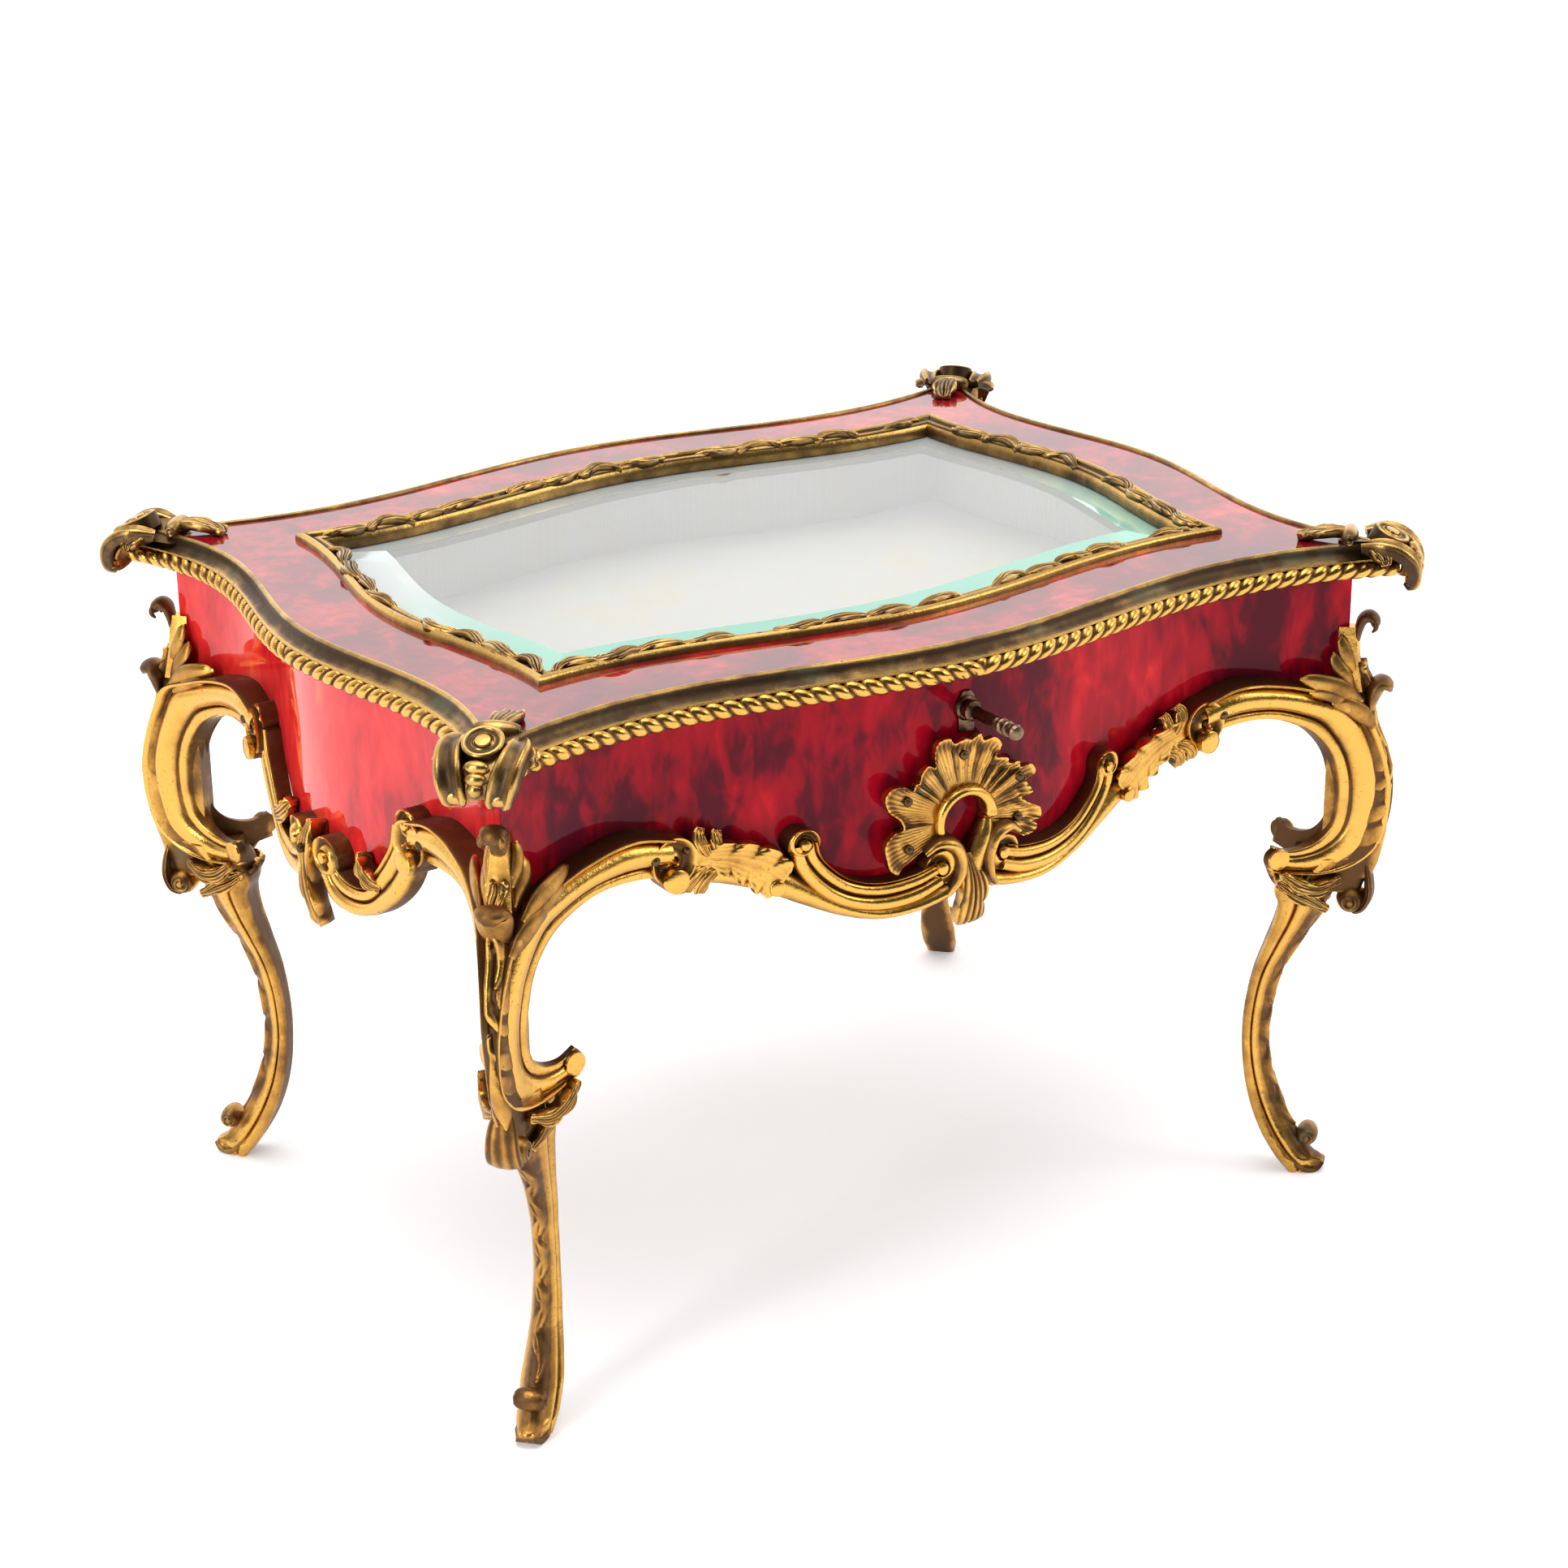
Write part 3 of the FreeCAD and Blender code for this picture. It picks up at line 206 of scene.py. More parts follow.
@dataclass(frozen=True)
class Plan:
    """Serpentine plan of the lid and the case, in mm about their middle."""

    half_length: float = 132.4
    half_depth: float = 97.6
    long_wave: Row = (10.9, 85, 9.1, 46.5)
    short_wave: Row = (8.4, 62, 7.9, 34)
    case_inset: float = 2.0
    corner_rounds: int = 60
    end_halvings: int = 40

    @staticmethod
    def _wave(along: Array, middle: float, wave: Row) -> Array:
        """One side's distance from the middle of the plan.

        Args:
            along: Places along the side.
            middle: Distance in the middle of the side.
            wave: Bulge, place of the waist, flare and the flare's run.

        Returns:
            Distances at those places.
        """
        bulge, waist_at, flare, run = wave
        a = np.abs(along)
        inside = bulge * (1 + np.cos(np.pi * np.minimum(a, waist_at) / waist_at)) / 2
        return middle - bulge + inside + flare * (np.maximum(a - waist_at, 0) / run) ** 2

    def depth(self, x: Array) -> Array:
        """Half depth of the plan at x."""
        return self._wave(np.asarray(x, float), self.half_depth, self.long_wave)

    def length(self, y: Array) -> Array:
        """Half length of the plan at y."""
        return self._wave(np.asarray(y, float), self.half_length, self.short_wave)

    def corner(self, inset: float) -> Array:
        """Corner of the plan, found by going to and fro between its two sides.

        Args:
            inset: How far both sides are drawn in.

        Returns:
            Its x and y.
        """
        x, y = self.half_length - inset, self.half_depth - inset
        for _ in range(self.corner_rounds):
            x, y = float(self.length(y)) - inset, float(self.depth(x)) - inset
        return np.array([x, y])

    def case_corner(self) -> Array:
        """Outer corner of the case's walls."""
        return self.corner(self.case_inset)

    def edge(self, side: Side, inset: float, share: Array, past: float = NO_END) -> Array:
        """Points along one side of the plan, from its one corner to the other.

        Args:
            side: Which side.
            inset: How far the line is drawn in.
            share: Places along the side from -1 to 1.
            past: The line stops this far outside the case's corner, along the diagonal.

        Returns:
            Array of x and y.
        """
        end = self.corner(inset)
        home = self.case_corner()
        lengthwise = side.lengthwise
        reach = end[0] if lengthwise else end[1]

        def point(along: Array) -> Array:
            """Points of the back or right side at those places."""
            across = (self.depth if lengthwise else self.length)(along) - inset
            return np.stack([along, across] if lengthwise else [across, along], -1)

        low, high = 0.0, reach
        if (end - home).sum() / math.sqrt(2) > past:
            for _ in range(self.end_halvings):
                mid = (low + high) / 2
                if (point(np.array(mid)) - home).sum() / math.sqrt(2) > past:
                    high = mid
                else:
                    low = mid
            reach = low
        xy = point(np.asarray(share) * reach)
        return xy * (-1 if side is Side.LEFT else 1, -1 if side is Side.FRONT else 1)

    def wall(self, side: Side, along: Array, height: Array, out: Array) -> Array:
        """Points over a wall.

        Args:
            side: Which wall.
            along, height, out: Places along it, heights, and distances from its face.

        Returns:
            The points.
        """
        along, height, out = np.broadcast_arrays(along, height, out)
        far = (self.depth if side.lengthwise else self.length)(along) - self.case_inset + out
        far = -far if side in (Side.FRONT, Side.LEFT) else far
        return np.stack([along, far, height] if side.lengthwise else [far, along, height], -1)

    def diagonal(self, out: Array, height: Array, across: Array) -> Array:
        """Points at the back right corner.

        Args:
            out, height, across: Distances out along its diagonal, heights, and places across it.

        Returns:
            The points.
        """
        out, height, across = np.broadcast_arrays(*(np.asarray(v, float) for v in (out, height, across)))
        x, y = self.case_corner()
        half = math.sqrt(0.5)
        return np.stack([x + (out - across) * half, y + (out + across) * half, height], -1)


PLAN = Plan()


# Meshes


class Casting:
    """Closed surfaces that together make one piece, in mm, with a tone for each point: how bright its metal is there,
    which holds its wear and patina and also painted shade and highlight.
    """

    def __init__(self) -> None:
        """Starts empty."""
        self.surfaces: list[tuple[Array, Array, Array, Array]] = []

    @staticmethod
    def _faces(net: Array) -> Array:
        """Four-sided faces of a net of point numbers."""
        return np.stack([net[:-1, :-1], net[1:, :-1], net[1:, 1:], net[:-1, 1:]], -1).reshape(-1, 4)

    def _add(self, points: Array, tone: Array, quads: Array, tris: Optional[Array] = None) -> None:
        """Adds one closed surface and turns its faces outward.

        Args:
            points, tone: Its points and the tone of each.
            quads, tris: Its four-sided and three-sided faces.
        """
        tris = np.zeros((0, 3), int) if tris is None else tris
        three = np.vstack([quads[:, [0, 1, 2]], quads[:, [0, 2, 3]], tris])
        a, b, c = (points[three[:, k]] - points.mean(0) for k in range(3))
        if np.einsum("ij,ij->i", a, np.cross(b, c)).sum() < 0:
            quads, tris = quads[:, ::-1], tris[:, ::-1]
        self.surfaces.append((points, np.clip(tone, 0, 1), quads, tris))

    def tube(self, rings: Array, tone: Array | float = 0.7, closed: bool = False) -> None:
        """Tube through rings of points, with flat ends or joined into a hoop.

        Args:
            rings: Array of rings, points and coordinates.
            tone: Tone of each point, or of all.
            closed: True if the last ring joins the first.
        """
        n, m, _ = rings.shape
        tone = np.broadcast_to(tone, (n, m))
        at = np.arange(n * m).reshape(n, m)
        round_ = np.hstack([at, at[:, :1]])
        if closed:
            round_ = np.vstack([round_, round_[:1]])
        quads = self._faces(round_)
        if closed:
            self._add(rings.reshape(-1, 3), tone.ravel(), quads)
            return
        ends = np.vstack([rings[0].mean(0), rings[-1].mean(0)])
        first = np.stack([round_[0, :-1], round_[0, 1:], np.full(m, n * m)], -1)
        last = np.stack([round_[-1, 1:], round_[-1, :-1], np.full(m, n * m + 1)], -1)
        points = np.vstack([rings.reshape(-1, 3), ends])
        tones = np.r_[tone.ravel(), tone[0].mean(), tone[-1].mean()]
        self._add(points, tones, quads, np.vstack([first, last]))

    def shell(self, face: Array, rear: Array, tone: Array | float = 0.7) -> None:
        """Closed plate between a face and a rear that are grids of the same size.

        Args:
            face: Visible grid of points.
            rear: Hidden grid of points.
            tone: Tone of the face's points; the rear and sides get a small share of it as painted shade.
        """
        n, m, _ = face.shape
        tone = np.broadcast_to(tone, (n, m))
        at = np.arange(n * m).reshape(n, m)
        ring = np.hstack([at, at[:, ::-1] + n * m, at[:, :1]])
        quads = [self._faces(ring)]
        for row, turn in ((at[0], 1), (at[-1], -1)):
            cap = np.stack([row[:-1], row[1:], row[1:] + n * m, row[:-1] + n * m], -1)
            quads.append(cap[:, ::turn])
        points = np.vstack([face.reshape(-1, 3), rear.reshape(-1, 3)])
        # The rear takes a small share of the face's tone: painted shade, so the back and sides go dark.
        self._add(points, np.r_[tone.ravel(), tone.ravel() * REAR_PAINTED_SHADE], np.vstack(quads))

    def take(self, other: "Casting", mirror_x: bool = False, mirror_y: bool = False) -> "Casting":
        """Adds all of another casting.

        Args:
            other: That casting.
            mirror_x, mirror_y: True to mirror it in X or in Y.

        Returns:
            This casting.
        """
        turn = -1 if mirror_x != mirror_y else 1
        signs = np.array([-1 if mirror_x else 1, -1 if mirror_y else 1, 1])
        self.surfaces += [(points * signs, tone, quads[:, ::turn], tris[:, ::turn])
                          for points, tone, quads, tris in other.surfaces]
        return self

    def mirrored(self, mirror_x: bool, mirror_y: bool = False) -> "Casting":
        """A copy of this casting, mirrored."""
        return Casting().take(self, mirror_x, mirror_y)

    def make(self, name: str, finish: "Finish", crease: float = CREASE) -> Piece:
        """Makes the object.

        Args:
            name: Its name.
            finish: What it is made of.
            crease: Edges sharper than this many degrees stay sharp.

        Returns:
            The new object, in metres in the frame.
        """
        points, tones, quads, tris = zip(*self.surfaces)
        starts = np.cumsum([0, *map(len, points)])
        faces = [face for kind in (quads, tris) for start, rows in zip(starts, kind)
                 for face in (rows + start).tolist()]
        mesh = bpy.data.meshes.new(name)
        mesh.from_pydata(((np.vstack(points) + (0, SHIFT_Y, 0)) * MM).tolist(), [], faces)
        mesh.validate()
        tone = mesh.attributes.new("tone", "FLOAT", "POINT")
        tone.data.foreach_set("value", np.concatenate(tones).astype(np.float32))
        mesh.shade_smooth()
        mesh.set_sharp_from_angle(angle=math.radians(crease))
        mesh.materials.append(finish.material())
        return stand(name, mesh)

    def hand_in(self, name: str, finish: "Finish", body: Body, node: str, crease: float = CREASE) -> None:
        """Makes the object and hands it to the frame in place of a node."""
        settle(self.make(name, finish, crease), body, finish, node)


def stand(name: str, data: bpy.types.ID) -> Piece:
    """Puts a new object with that data into the scene.

    Args:
        name, data: Its name, and its mesh, light or camera.

    Returns:
        The object.
    """
    made = bpy.data.objects.new(name, data)
    bpy.context.scene.collection.objects.link(made)
    return made


def place_on(side: Side) -> Place:
    """Gives the map from place along, height and distance out to points over one wall."""
    return lambda along, height, out: PLAN.wall(side, along, height, out)


def moulded_band(cast: Casting, place: Place, low: Points, high: Points, proud: Points, section: Points,
                 steps: int = 80, across: int = 25) -> None:
    """Moulded band between two lines over a wall.

    Args:
        cast, place: Casting that takes it, and the map over the wall.
        low, high: Its edges, as places along and heights, both running the same way.
        proud: Knots of share along the band and height of its moulding.
        section: Knots of place across, from -1 to 1, share of the moulding's height, and tone.
        steps, across: Points along and across.
    """
    a, b = smooth_run(low, steps), smooth_run(high, steps)
    knots = smooth_run(section, across * 3)
    cut = knots[np.linspace(0, len(knots) - 1, across).round().astype(int)]
    t = (cut[:, 0] + 1) / 2
    flat = a[:, None] * (1 - t)[:, None] + b[:, None] * t[:, None]
    tall = graded(proud, np.linspace(0, 1, steps))
    out = tall[:, None] * cut[:, 1]
    face = place(flat[..., 0], flat[..., 1], out)
    hidden = place(flat[..., 0], flat[..., 1], np.zeros_like(out))
    cast.shell(face, hidden, np.broadcast_to(cut[:, 2], out.shape))


def roundel(cast: Casting, place: Place, centre: Row, radius: float, proud: float,
            turns: float = 1.4, hand: int = 1, eye: float = 0.36, sides: int = 40, rear: float = 0.0) -> None:
    """Scroll end: a round boss with a spiral on its face and a raised eye.

    Args:
        cast, place: Casting that takes it, and the map over the wall.
        centre, radius: Its middle and radius.
        proud: Height of its face.
        turns, hand: Turns of the spiral and the way it winds: 1, -1, or 0 for plain rings.
        eye: Radius of its eye as a share.
        sides: Points round it.
        rear: Distance of the hidden side from the wall.
    """
    r = np.r_[0.04, 0.14, 0.24, np.linspace(0.3, 0.94, 13), 0.985, 1.0, 1.0]
    rr, aa = np.meshgrid(r, around(sides), indexing="ij")
    wave = np.cos(2 * np.pi * (rr * turns - hand * aa / (2 * np.pi)))
    relief = 0.82 + 0.14 * wave
    dome = 0.98 + 0.12 * np.sqrt(np.clip(1 - (rr / eye) ** 2, 0, 1))
    relief = np.where(rr < eye, dome, relief)
    relief = np.where((rr > eye) & (rr < eye + 0.1), 0.70, relief)
    relief[-3] = np.minimum(relief[-3], 0.9)
    relief[-2] = np.minimum(relief[-2], 0.78)
    out = proud * relief
    out[-1] = rear
    along = centre[0] + radius * rr * np.cos(aa)
    height = centre[1] + radius * rr * np.sin(aa)
    tone = np.clip(0.25 + (relief - 0.68) * 2.4, 0.12, 0.9)
    # The outer edge and the back go nearly black: painted shade on the boss's side.
    tone[-2:] = 0.05
    cast.tube(place(along, height, out), tone)


def strip_frame(spine: Points, across: Points, count: int,
                outward: Row) -> tuple[Array, Array, Array, Array]:
    """Middle line of a strip with its direction, its side and its outward normal at each point.

    Args:
        spine: Points along the middle.
        across: One direction across the strip, or one for each point of the spine.
        count: Points wanted.
        outward: The side that the strip's face looks to.

    Returns:
        Middle points, directions, sides and normals.
    """
    middle = smooth_run(spine, count)
    way = unit(np.gradient(middle, axis=0))
    side = np.atleast_2d(np.asarray(across, float))
    side = np.repeat(side, count, 0) if len(side) == 1 else smooth_run(side, count)
    side = unit(side - (side * way).sum(1, keepdims=True) * way)
    up = np.cross(way, side)
    start = up[0] @ np.asarray(outward, float)
    return middle, way, side, up * (1.0 if start >= 0 else -1.0)


def leaf(cast: Casting, spine: Points, across: Points, half: float, outward: Row, lobes: int = 3,
         crown: float = 0.35, rib: float = 0.06, veins: float = 2.5, thick: float = 1.4,
         shape: Points = ((0, 0.5), (0.2, 0.85), (0.45, 1), (0.75, 0.8), (0.93, 0.42), (1, 0.14)),
         slant: float = 0.8, notch: float = 0.34, sway: float = 0.1, tone: float = 0.45) -> None:
    """Acanthus leaf along a line: rounded lobes, veins that run to the tip, and a sunk midrib.

    Args:
        cast: Casting that takes it.
        spine: Points along the middle of the leaf, from its root to its tip.
        across: One direction across the leaf, or one for each point of the spine.
        half, thick: Half its greatest width, and its thickness in mm.
        outward: The side that the face looks to.
        lobes, veins: Lobes along each edge, and veins on each half.
        crown, rib: Heights of the middle above the edges and of the veins, as shares of half.
        shape: Knots of share along and share of half.
        slant, sway: How far the edges sweep to the tip and the midrib wanders, as shares of half.
        notch: Depth of the notches between lobes.
        tone: Tone between the veins.
    """
    n, m = 14 * lobes + 12, 25
    middle, way, side, up = strip_frame(spine, across, n, outward)
    s, t = np.linspace(0, 1, n), np.linspace(-1, 1, m)
    reach = np.abs(t)
    phase = s[:, None] * lobes - 0.3 * reach + 0.08 * np.sign(t)
    lobe = scallop(phase, 0.7)
    edge = reach ** 2.2
    grown = graded(shape, s)[:, None]
    wide = half * grown * (1 - notch * (1 - lobe) * edge)
    along = graded(((0, 0.6), (0.12, 1), (0.85, 1), (1, 0.4)), s)[:, None]
    vein = np.cos(2 * np.pi * (veins * reach ** 0.9 - 0.35 * phase))
    midrib = np.exp(-(t / 0.1) ** 2)
    relief = crown * (1 - reach ** 1.6) * grown + rib * vein * (0.35 + 0.65 * reach) - min(0.2, 2 * rib) * midrib
    relief = (relief + 0.34 * edge * (lobe - 0.45)) * along
    bend = sway * half * np.sin(2 * np.pi * (1.1 * s + middle[0].sum() % 1))[:, None]
    forward = slant * half * reach ** 1.6 * graded(((0, 0.2), (0.4, 1), (0.85, 0.8), (1, 0)), s)[:, None]
    flat = (side, t * wide + bend), (way, forward)
    face = moved(middle, *flat, (up, half * relief))
    rear = moved(middle, *flat, (up, -thick * (1 - 0.5 * reach ** 4) * np.ones((n, 1))))
    # Raised veins go brighter and the sunk midrib darker with the relief; the lobes' edges are brightened as a painted
    # highlight.
    worn = tone + min(0.28, 2.2 * rib) * vein * reach ** 0.4 + 0.36 * edge * lobe + 0.12 * (1 - reach)
    cast.shell(face, rear, worn - min(0.22, 2.2 * rib) * midrib)


def strap(cast: Casting, spine: Points, across: Points, half: float, outward: Row, section: Points,
          thick: float = 2.0, shape: Points = ((0, 1), (1, 1)), steps: int = 60, tone: float = 0.75) -> None:
    """Moulded strap along a line.

    Args:
        cast: Casting that takes it.
        spine: Points along its middle.
        across: One direction across it, or one for each point of the spine.
        half, thick: Half its greatest width, and its thickness in mm.
        outward: The side that the face looks to.
        section: Knots of place across, from -1 to 1, and height in mm.
        shape: Knots of share along and share of half.
        steps: Points along.
        tone: Tone of the highest places above the lowest.
    """
    middle, _, side, up = strip_frame(spine, across, steps, outward)
    cut = smooth_run(section, 31)
    wide = half * graded(shape, np.linspace(0, 1, steps))[:, None]
    grown = np.minimum(1, wide / half + 0.15)
    flat = side, wide * cut[:, 0]
    face = moved(middle, flat, (up, grown * cut[:, 1]))
    rear = moved(middle, flat, (up, -thick * grown * np.ones(len(cut))))
    level = (cut[:, 1] - cut[:, 1].min()) / max(np.ptp(cut[:, 1]), 1e-6)
    cast.shell(face, rear, np.broadcast_to(0.15 + tone * level, face.shape[:2]))


def lobed(across: Array, height: Array, lobes: Table) -> Array:
    """Relief of rounded lobes that lie over each other.

    Args:
        across: Places across the surface.
        height: Heights on it.
        lobes: For each lobe its line, knots of share along and half its width, and its height.

    Returns:
        Height of the relief.
    """
    steps = 40
    best = np.zeros(np.broadcast(across, height).shape)
    for line, wide, tall in lobes:
        run = smooth_run(line, steps)
        half = graded(wide, np.linspace(0, 1, steps))
        gap = np.hypot(across[..., None] - run[:, 0], height[..., None] - run[:, 1]) / half
        best = np.maximum(best, tall * np.sqrt(np.clip(1 - gap ** 2, 0, 1)).max(-1))
    return best


def bulb(cast: Casting, spine: Points, across: Row, outward: Row, wide: Points,
         deep: Points, tone: float = 0.6, flutes: int = 0) -> None:
    """Rounded swelling along a line, oval across it.

    Args:
        cast: Casting that takes it.
        spine: Points along its middle.
        across, outward: Direction across it, and the side that its face looks to.
        wide, deep: Knots of share along, and half its width or half its depth.
        tone, flutes: Tone of its face, and flutes round it.
    """
    steps, a = 44, around(36)
    s = np.linspace(0, 1, steps)
    middle, _, side, up = strip_frame(spine, across, steps, outward)
    flute = 0.5 + 0.5 * np.cos(flutes * a) if flutes else np.ones_like(a)
    w, h = (smooth_run(k, 200) for k in (wide, deep))
    w, h = (np.interp(s, k[:, 0], k[:, 1])[:, None] * (1 - 0.1 * (1 - flute)) for k in (w, h))
    rings = moved(middle, (side, w * np.cos(a)), (up, h * np.sin(a)))
    # The half that faces out is brighter and the half toward the wall darker, which is painted shade; the flutes'
    # grooves go darker with the relief.
    worn = tone * (0.55 + 0.45 * np.clip(np.sin(a), 0, 1)) * (0.6 + 0.4 * flute)
    cast.tube(rings, np.broadcast_to(worn, rings.shape[:2]))


def cross_axes(way: Row) -> tuple[Array, Array, Array]:
    """A direction at length one with two more at right angles to it and to each other.

    Args:
        way: The direction.

    Returns:
        The direction and the two others.
    """
    w = unit(np.asarray(way, float))
    u = unit(np.cross(w, (0.0, 0.0, 1.0)) if abs(w[2]) < 0.9 else np.cross(w, (1.0, 0.0, 0.0)))
    return w, u, np.cross(w, u)


def roll(cast: Casting, centre: Row, axis: Row, radius: float, half: float,
         waist: float = 0.0, turns: float = 1.2, tone: float = 0.95) -> None:
    """Rolled scroll: a bar with a spiral on each end.

    Args:
        cast: Casting that takes it.
        centre, axis: Its middle and the direction of its length.
        radius, half: Its radius and half its length.
        waist: How round it is from end to end: 0 is straight, 1 an egg.
        turns: Turns of the spirals on its ends.
        tone: Tone of its ridges.
    """
    sides = 40
    w, u, v = cross_axes(axis)
    a = around(sides)
    along = np.linspace(-1, 1, 33)
    body = np.sqrt(1 - waist * along ** 2) * (1 - 0.12 * np.abs(along) ** 12)
    rr, aa = np.meshgrid(np.r_[0.05, 0.2, 0.3, 0.42, 0.55, 0.68, 0.8, 0.9], a, indexing="ij")
    wave = np.cos(2 * np.pi * (rr * turns - aa / (2 * np.pi)))
    rise = np.where(rr < 0.34, 0.16, 0.05 * wave) * radius
    end = rr * radius * math.sqrt(1 - waist) * 0.97
    rad = np.vstack([end, np.repeat((radius * body)[:, None], sides, 1), end[::-1]])
    off = np.vstack([-(half + rise), np.repeat((half * along)[:, None], sides, 1), (half + rise)[::-1]])
    ring = np.asarray(centre, float) + rad[..., None] * (np.cos(a)[:, None] * u + np.sin(a)[:, None] * v)
    worn = tone * (0.4 + 0.6 * (body - body.min()) / max(np.ptp(body), 1e-6))
    flat = np.full_like(end, 0.65 * tone)
    cast.tube(ring + off[..., None] * w, np.vstack([flat, np.repeat(worn[:, None], sides, 1), flat]))


def turned(cast: Casting, start: Row, way: Row, outline: Points, sides: int = 28, tone: float = 0.7) -> None:
    """Turned piece.

    Args:
        cast: Casting that takes it.
        start, way: Where its axis starts, and its direction.
        outline: Pairs of distance along and radius.
        sides, tone: Points round it, and their tone.
    """
    w, u, v = cross_axes(way)
    a = around(sides)
    o = np.asarray(outline, float)
    ring = np.cos(a)[:, None] * u + np.sin(a)[:, None] * v
    cast.tube(np.asarray(start, float) + o[:, None, 1:] * ring + o[:, None, :1] * w, tone)


# Finishes


class Graph:
    """Short way to lay nodes in a tree."""

    def __init__(self, tree: Tree) -> None:
        """Takes the tree to fill."""
        self.tree = tree

    def node(self, kind: str, **values: object) -> Node:
        """Adds a node and sets its properties and inputs.

        Args:
            kind: Node type.
            values: Properties, or inputs by name with underscores for spaces; a socket is linked.

        Returns:
            The node.
        """
        made = self.tree.nodes.new(kind)
        self.fill(made, **values)
        return made

    def fill(self, made: Node, **values: object) -> None:
        """Sets a node's properties and inputs.

        Args:
            made: The node.
            values: As for a new node.
        """
        for key, value in values.items():
            if hasattr(made, key):
                setattr(made, key, value)
                continue
            place = int(key[1:]) if key[0] == "i" and key[1:].isdigit() else key.replace("_", " ")
            self.feed(made.inputs[place], value)

    def feed(self, socket: Socket, value: object) -> None:
        """Links a socket or sets its value.

        Args:
            socket: The input.
            value: A socket to link, or a plain value.
        """
        if isinstance(value, Socket):
            self.tree.links.new(value, socket)
        else:
            socket.default_value = value

    def where(self) -> Socket:
        """Coordinates of the piece itself."""
        return self.node("ShaderNodeTexCoord").outputs["Object"]

    def math(self, operation: str, first: object, second: object) -> Socket:
        """Result of a math node."""
        return self.node("ShaderNodeMath", operation=operation, i0=first, i1=second).outputs[0]

    def times(self, first: object, second: object) -> Socket:
        """Product of two values."""
        return self.math("MULTIPLY", first, second)

    def minus(self, first: object, second: object) -> Socket:
        """Difference of two values."""
        return self.math("SUBTRACT", first, second)

    def plus(self, *values: object) -> Socket:
        """Sum of values."""
        return reduce(lambda total, value: self.math("ADD", total, value), values)

    def fit(self, value: object, low: float, high: float, to_low: float = 0.0, to_high: float = 1.0) -> Socket:
        """Value moved smoothly from one range to another."""
        return self.node("ShaderNodeMapRange", interpolation_type="SMOOTHSTEP", Value=value, From_Min=low,
                         From_Max=high, To_Min=to_low, To_Max=to_high).outputs["Result"]

    def mix(self, factor: object, first: object, second: object) -> Socket:
        """Mix of two colours."""
        return self.node("ShaderNodeMix", data_type="RGBA", i0=factor, i6=first, i7=second).outputs[2]

    def noise(self, where: Socket, scale: object, detail: float = 4.0, rough: float = 0.55,
              bend: float = 0.0) -> Socket:
        """Noise value."""
        return self.node("ShaderNodeTexNoise", Vector=where, Scale=scale, Detail=detail, Roughness=rough,
                         Distortion=bend).outputs["Fac"]

    def stretch(self, where: object, scale: Row) -> Socket:
        """Coordinates scaled along each axis."""
        return self.node("ShaderNodeMapping", Vector=where, Scale=scale).outputs[0]

    def bump(self, height: object, strength: float, depth: float) -> Socket:
        """Normal that follows a height."""
        return self.node("ShaderNodeBump", Strength=strength, Distance=depth, Height=height).outputs[0]


def shared_group(name: str, inputs: dict[str, float], outputs: Sequence[str],
                 fill: Callable[[Graph, dict, dict], None]) -> Tree:
    """Node group that several finishes place, built once.

    Args:
        name: Its name.
        inputs: Value inputs with their defaults.
        outputs: Names of its value outputs.
        fill: Lays its nodes, given the inner sockets.

    Returns:
        The group.
    """
    found = bpy.data.node_groups.get(name)
    if found:
        return found
    group = bpy.data.node_groups.new(name, "ShaderNodeTree")
    for key, value in inputs.items():
        group.interface.new_socket(key, in_out="INPUT", socket_type="NodeSocketFloat").default_value = value
    for key in outputs:
        group.interface.new_socket(key, in_out="OUTPUT", socket_type="NodeSocketFloat")
    graph = Graph(group)
    start, end = graph.node("NodeGroupInput"), graph.node("NodeGroupOutput")
    fill(graph, {s.name: s for s in start.outputs if s.name}, {s.name: s for s in end.inputs if s.name})
    return group


def fill_cast_wear(g: Graph, given: dict, want: dict) -> None:
    """Cast metal: dirt in hollows, rubbed ridges, the painted shade and highlight that each point's tone carries,
    specks, and the grain of the casting.

    Args:
        g: Graph of the group.
        given, want: Its inputs and outputs by name.
    """
    where, patches = g.where(), given["Patches"]

    def spots(size: float, detail: float, rough: float = 0.55) -> Socket:
        """Noise that follows the group's scale."""
        return g.noise(where, g.times(given["Scale"], size), detail, rough)

    # Each point's tone holds its wear and patina and also painted shade and highlight.
    tone = g.plus(g.node("ShaderNodeAttribute", attribute_name="tone").outputs["Fac"], given["Lift"])
    ridge = g.fit(g.node("ShaderNodeNewGeometry").outputs["Pointiness"], 0.44, 0.56)
    cloud, slow = spots(130.0, 5.0, 0.62), spots(34.0, 2.0)
    level = g.plus(g.times(tone, 0.62), g.times(ridge, 0.30), g.times(g.minus(cloud, 0.5), patches),
                   g.times(g.minus(slow, 0.5), g.times(patches, 0.8)))
    g.feed(want["Rubbed"], g.fit(level, 0.26, 0.84))
    g.feed(want["Specks"], g.times(g.fit(spots(1150.0, 3.0, 0.7), 0.58, 0.70), g.fit(cloud, 0.42, 0.62)))
    g.feed(want["Height"], g.plus(g.times(spots(2600.0, 2.0, 0.6), 0.35), g.times(spots(420.0, 2.0, 0.5), 0.9)))
    g.feed(want["Verdigris"], g.times(g.fit(g.noise(where, 62.0, 3.0), 0.56, 0.70),
                                      g.minus(1.0, g.fit(level, 0.35, 0.75))))


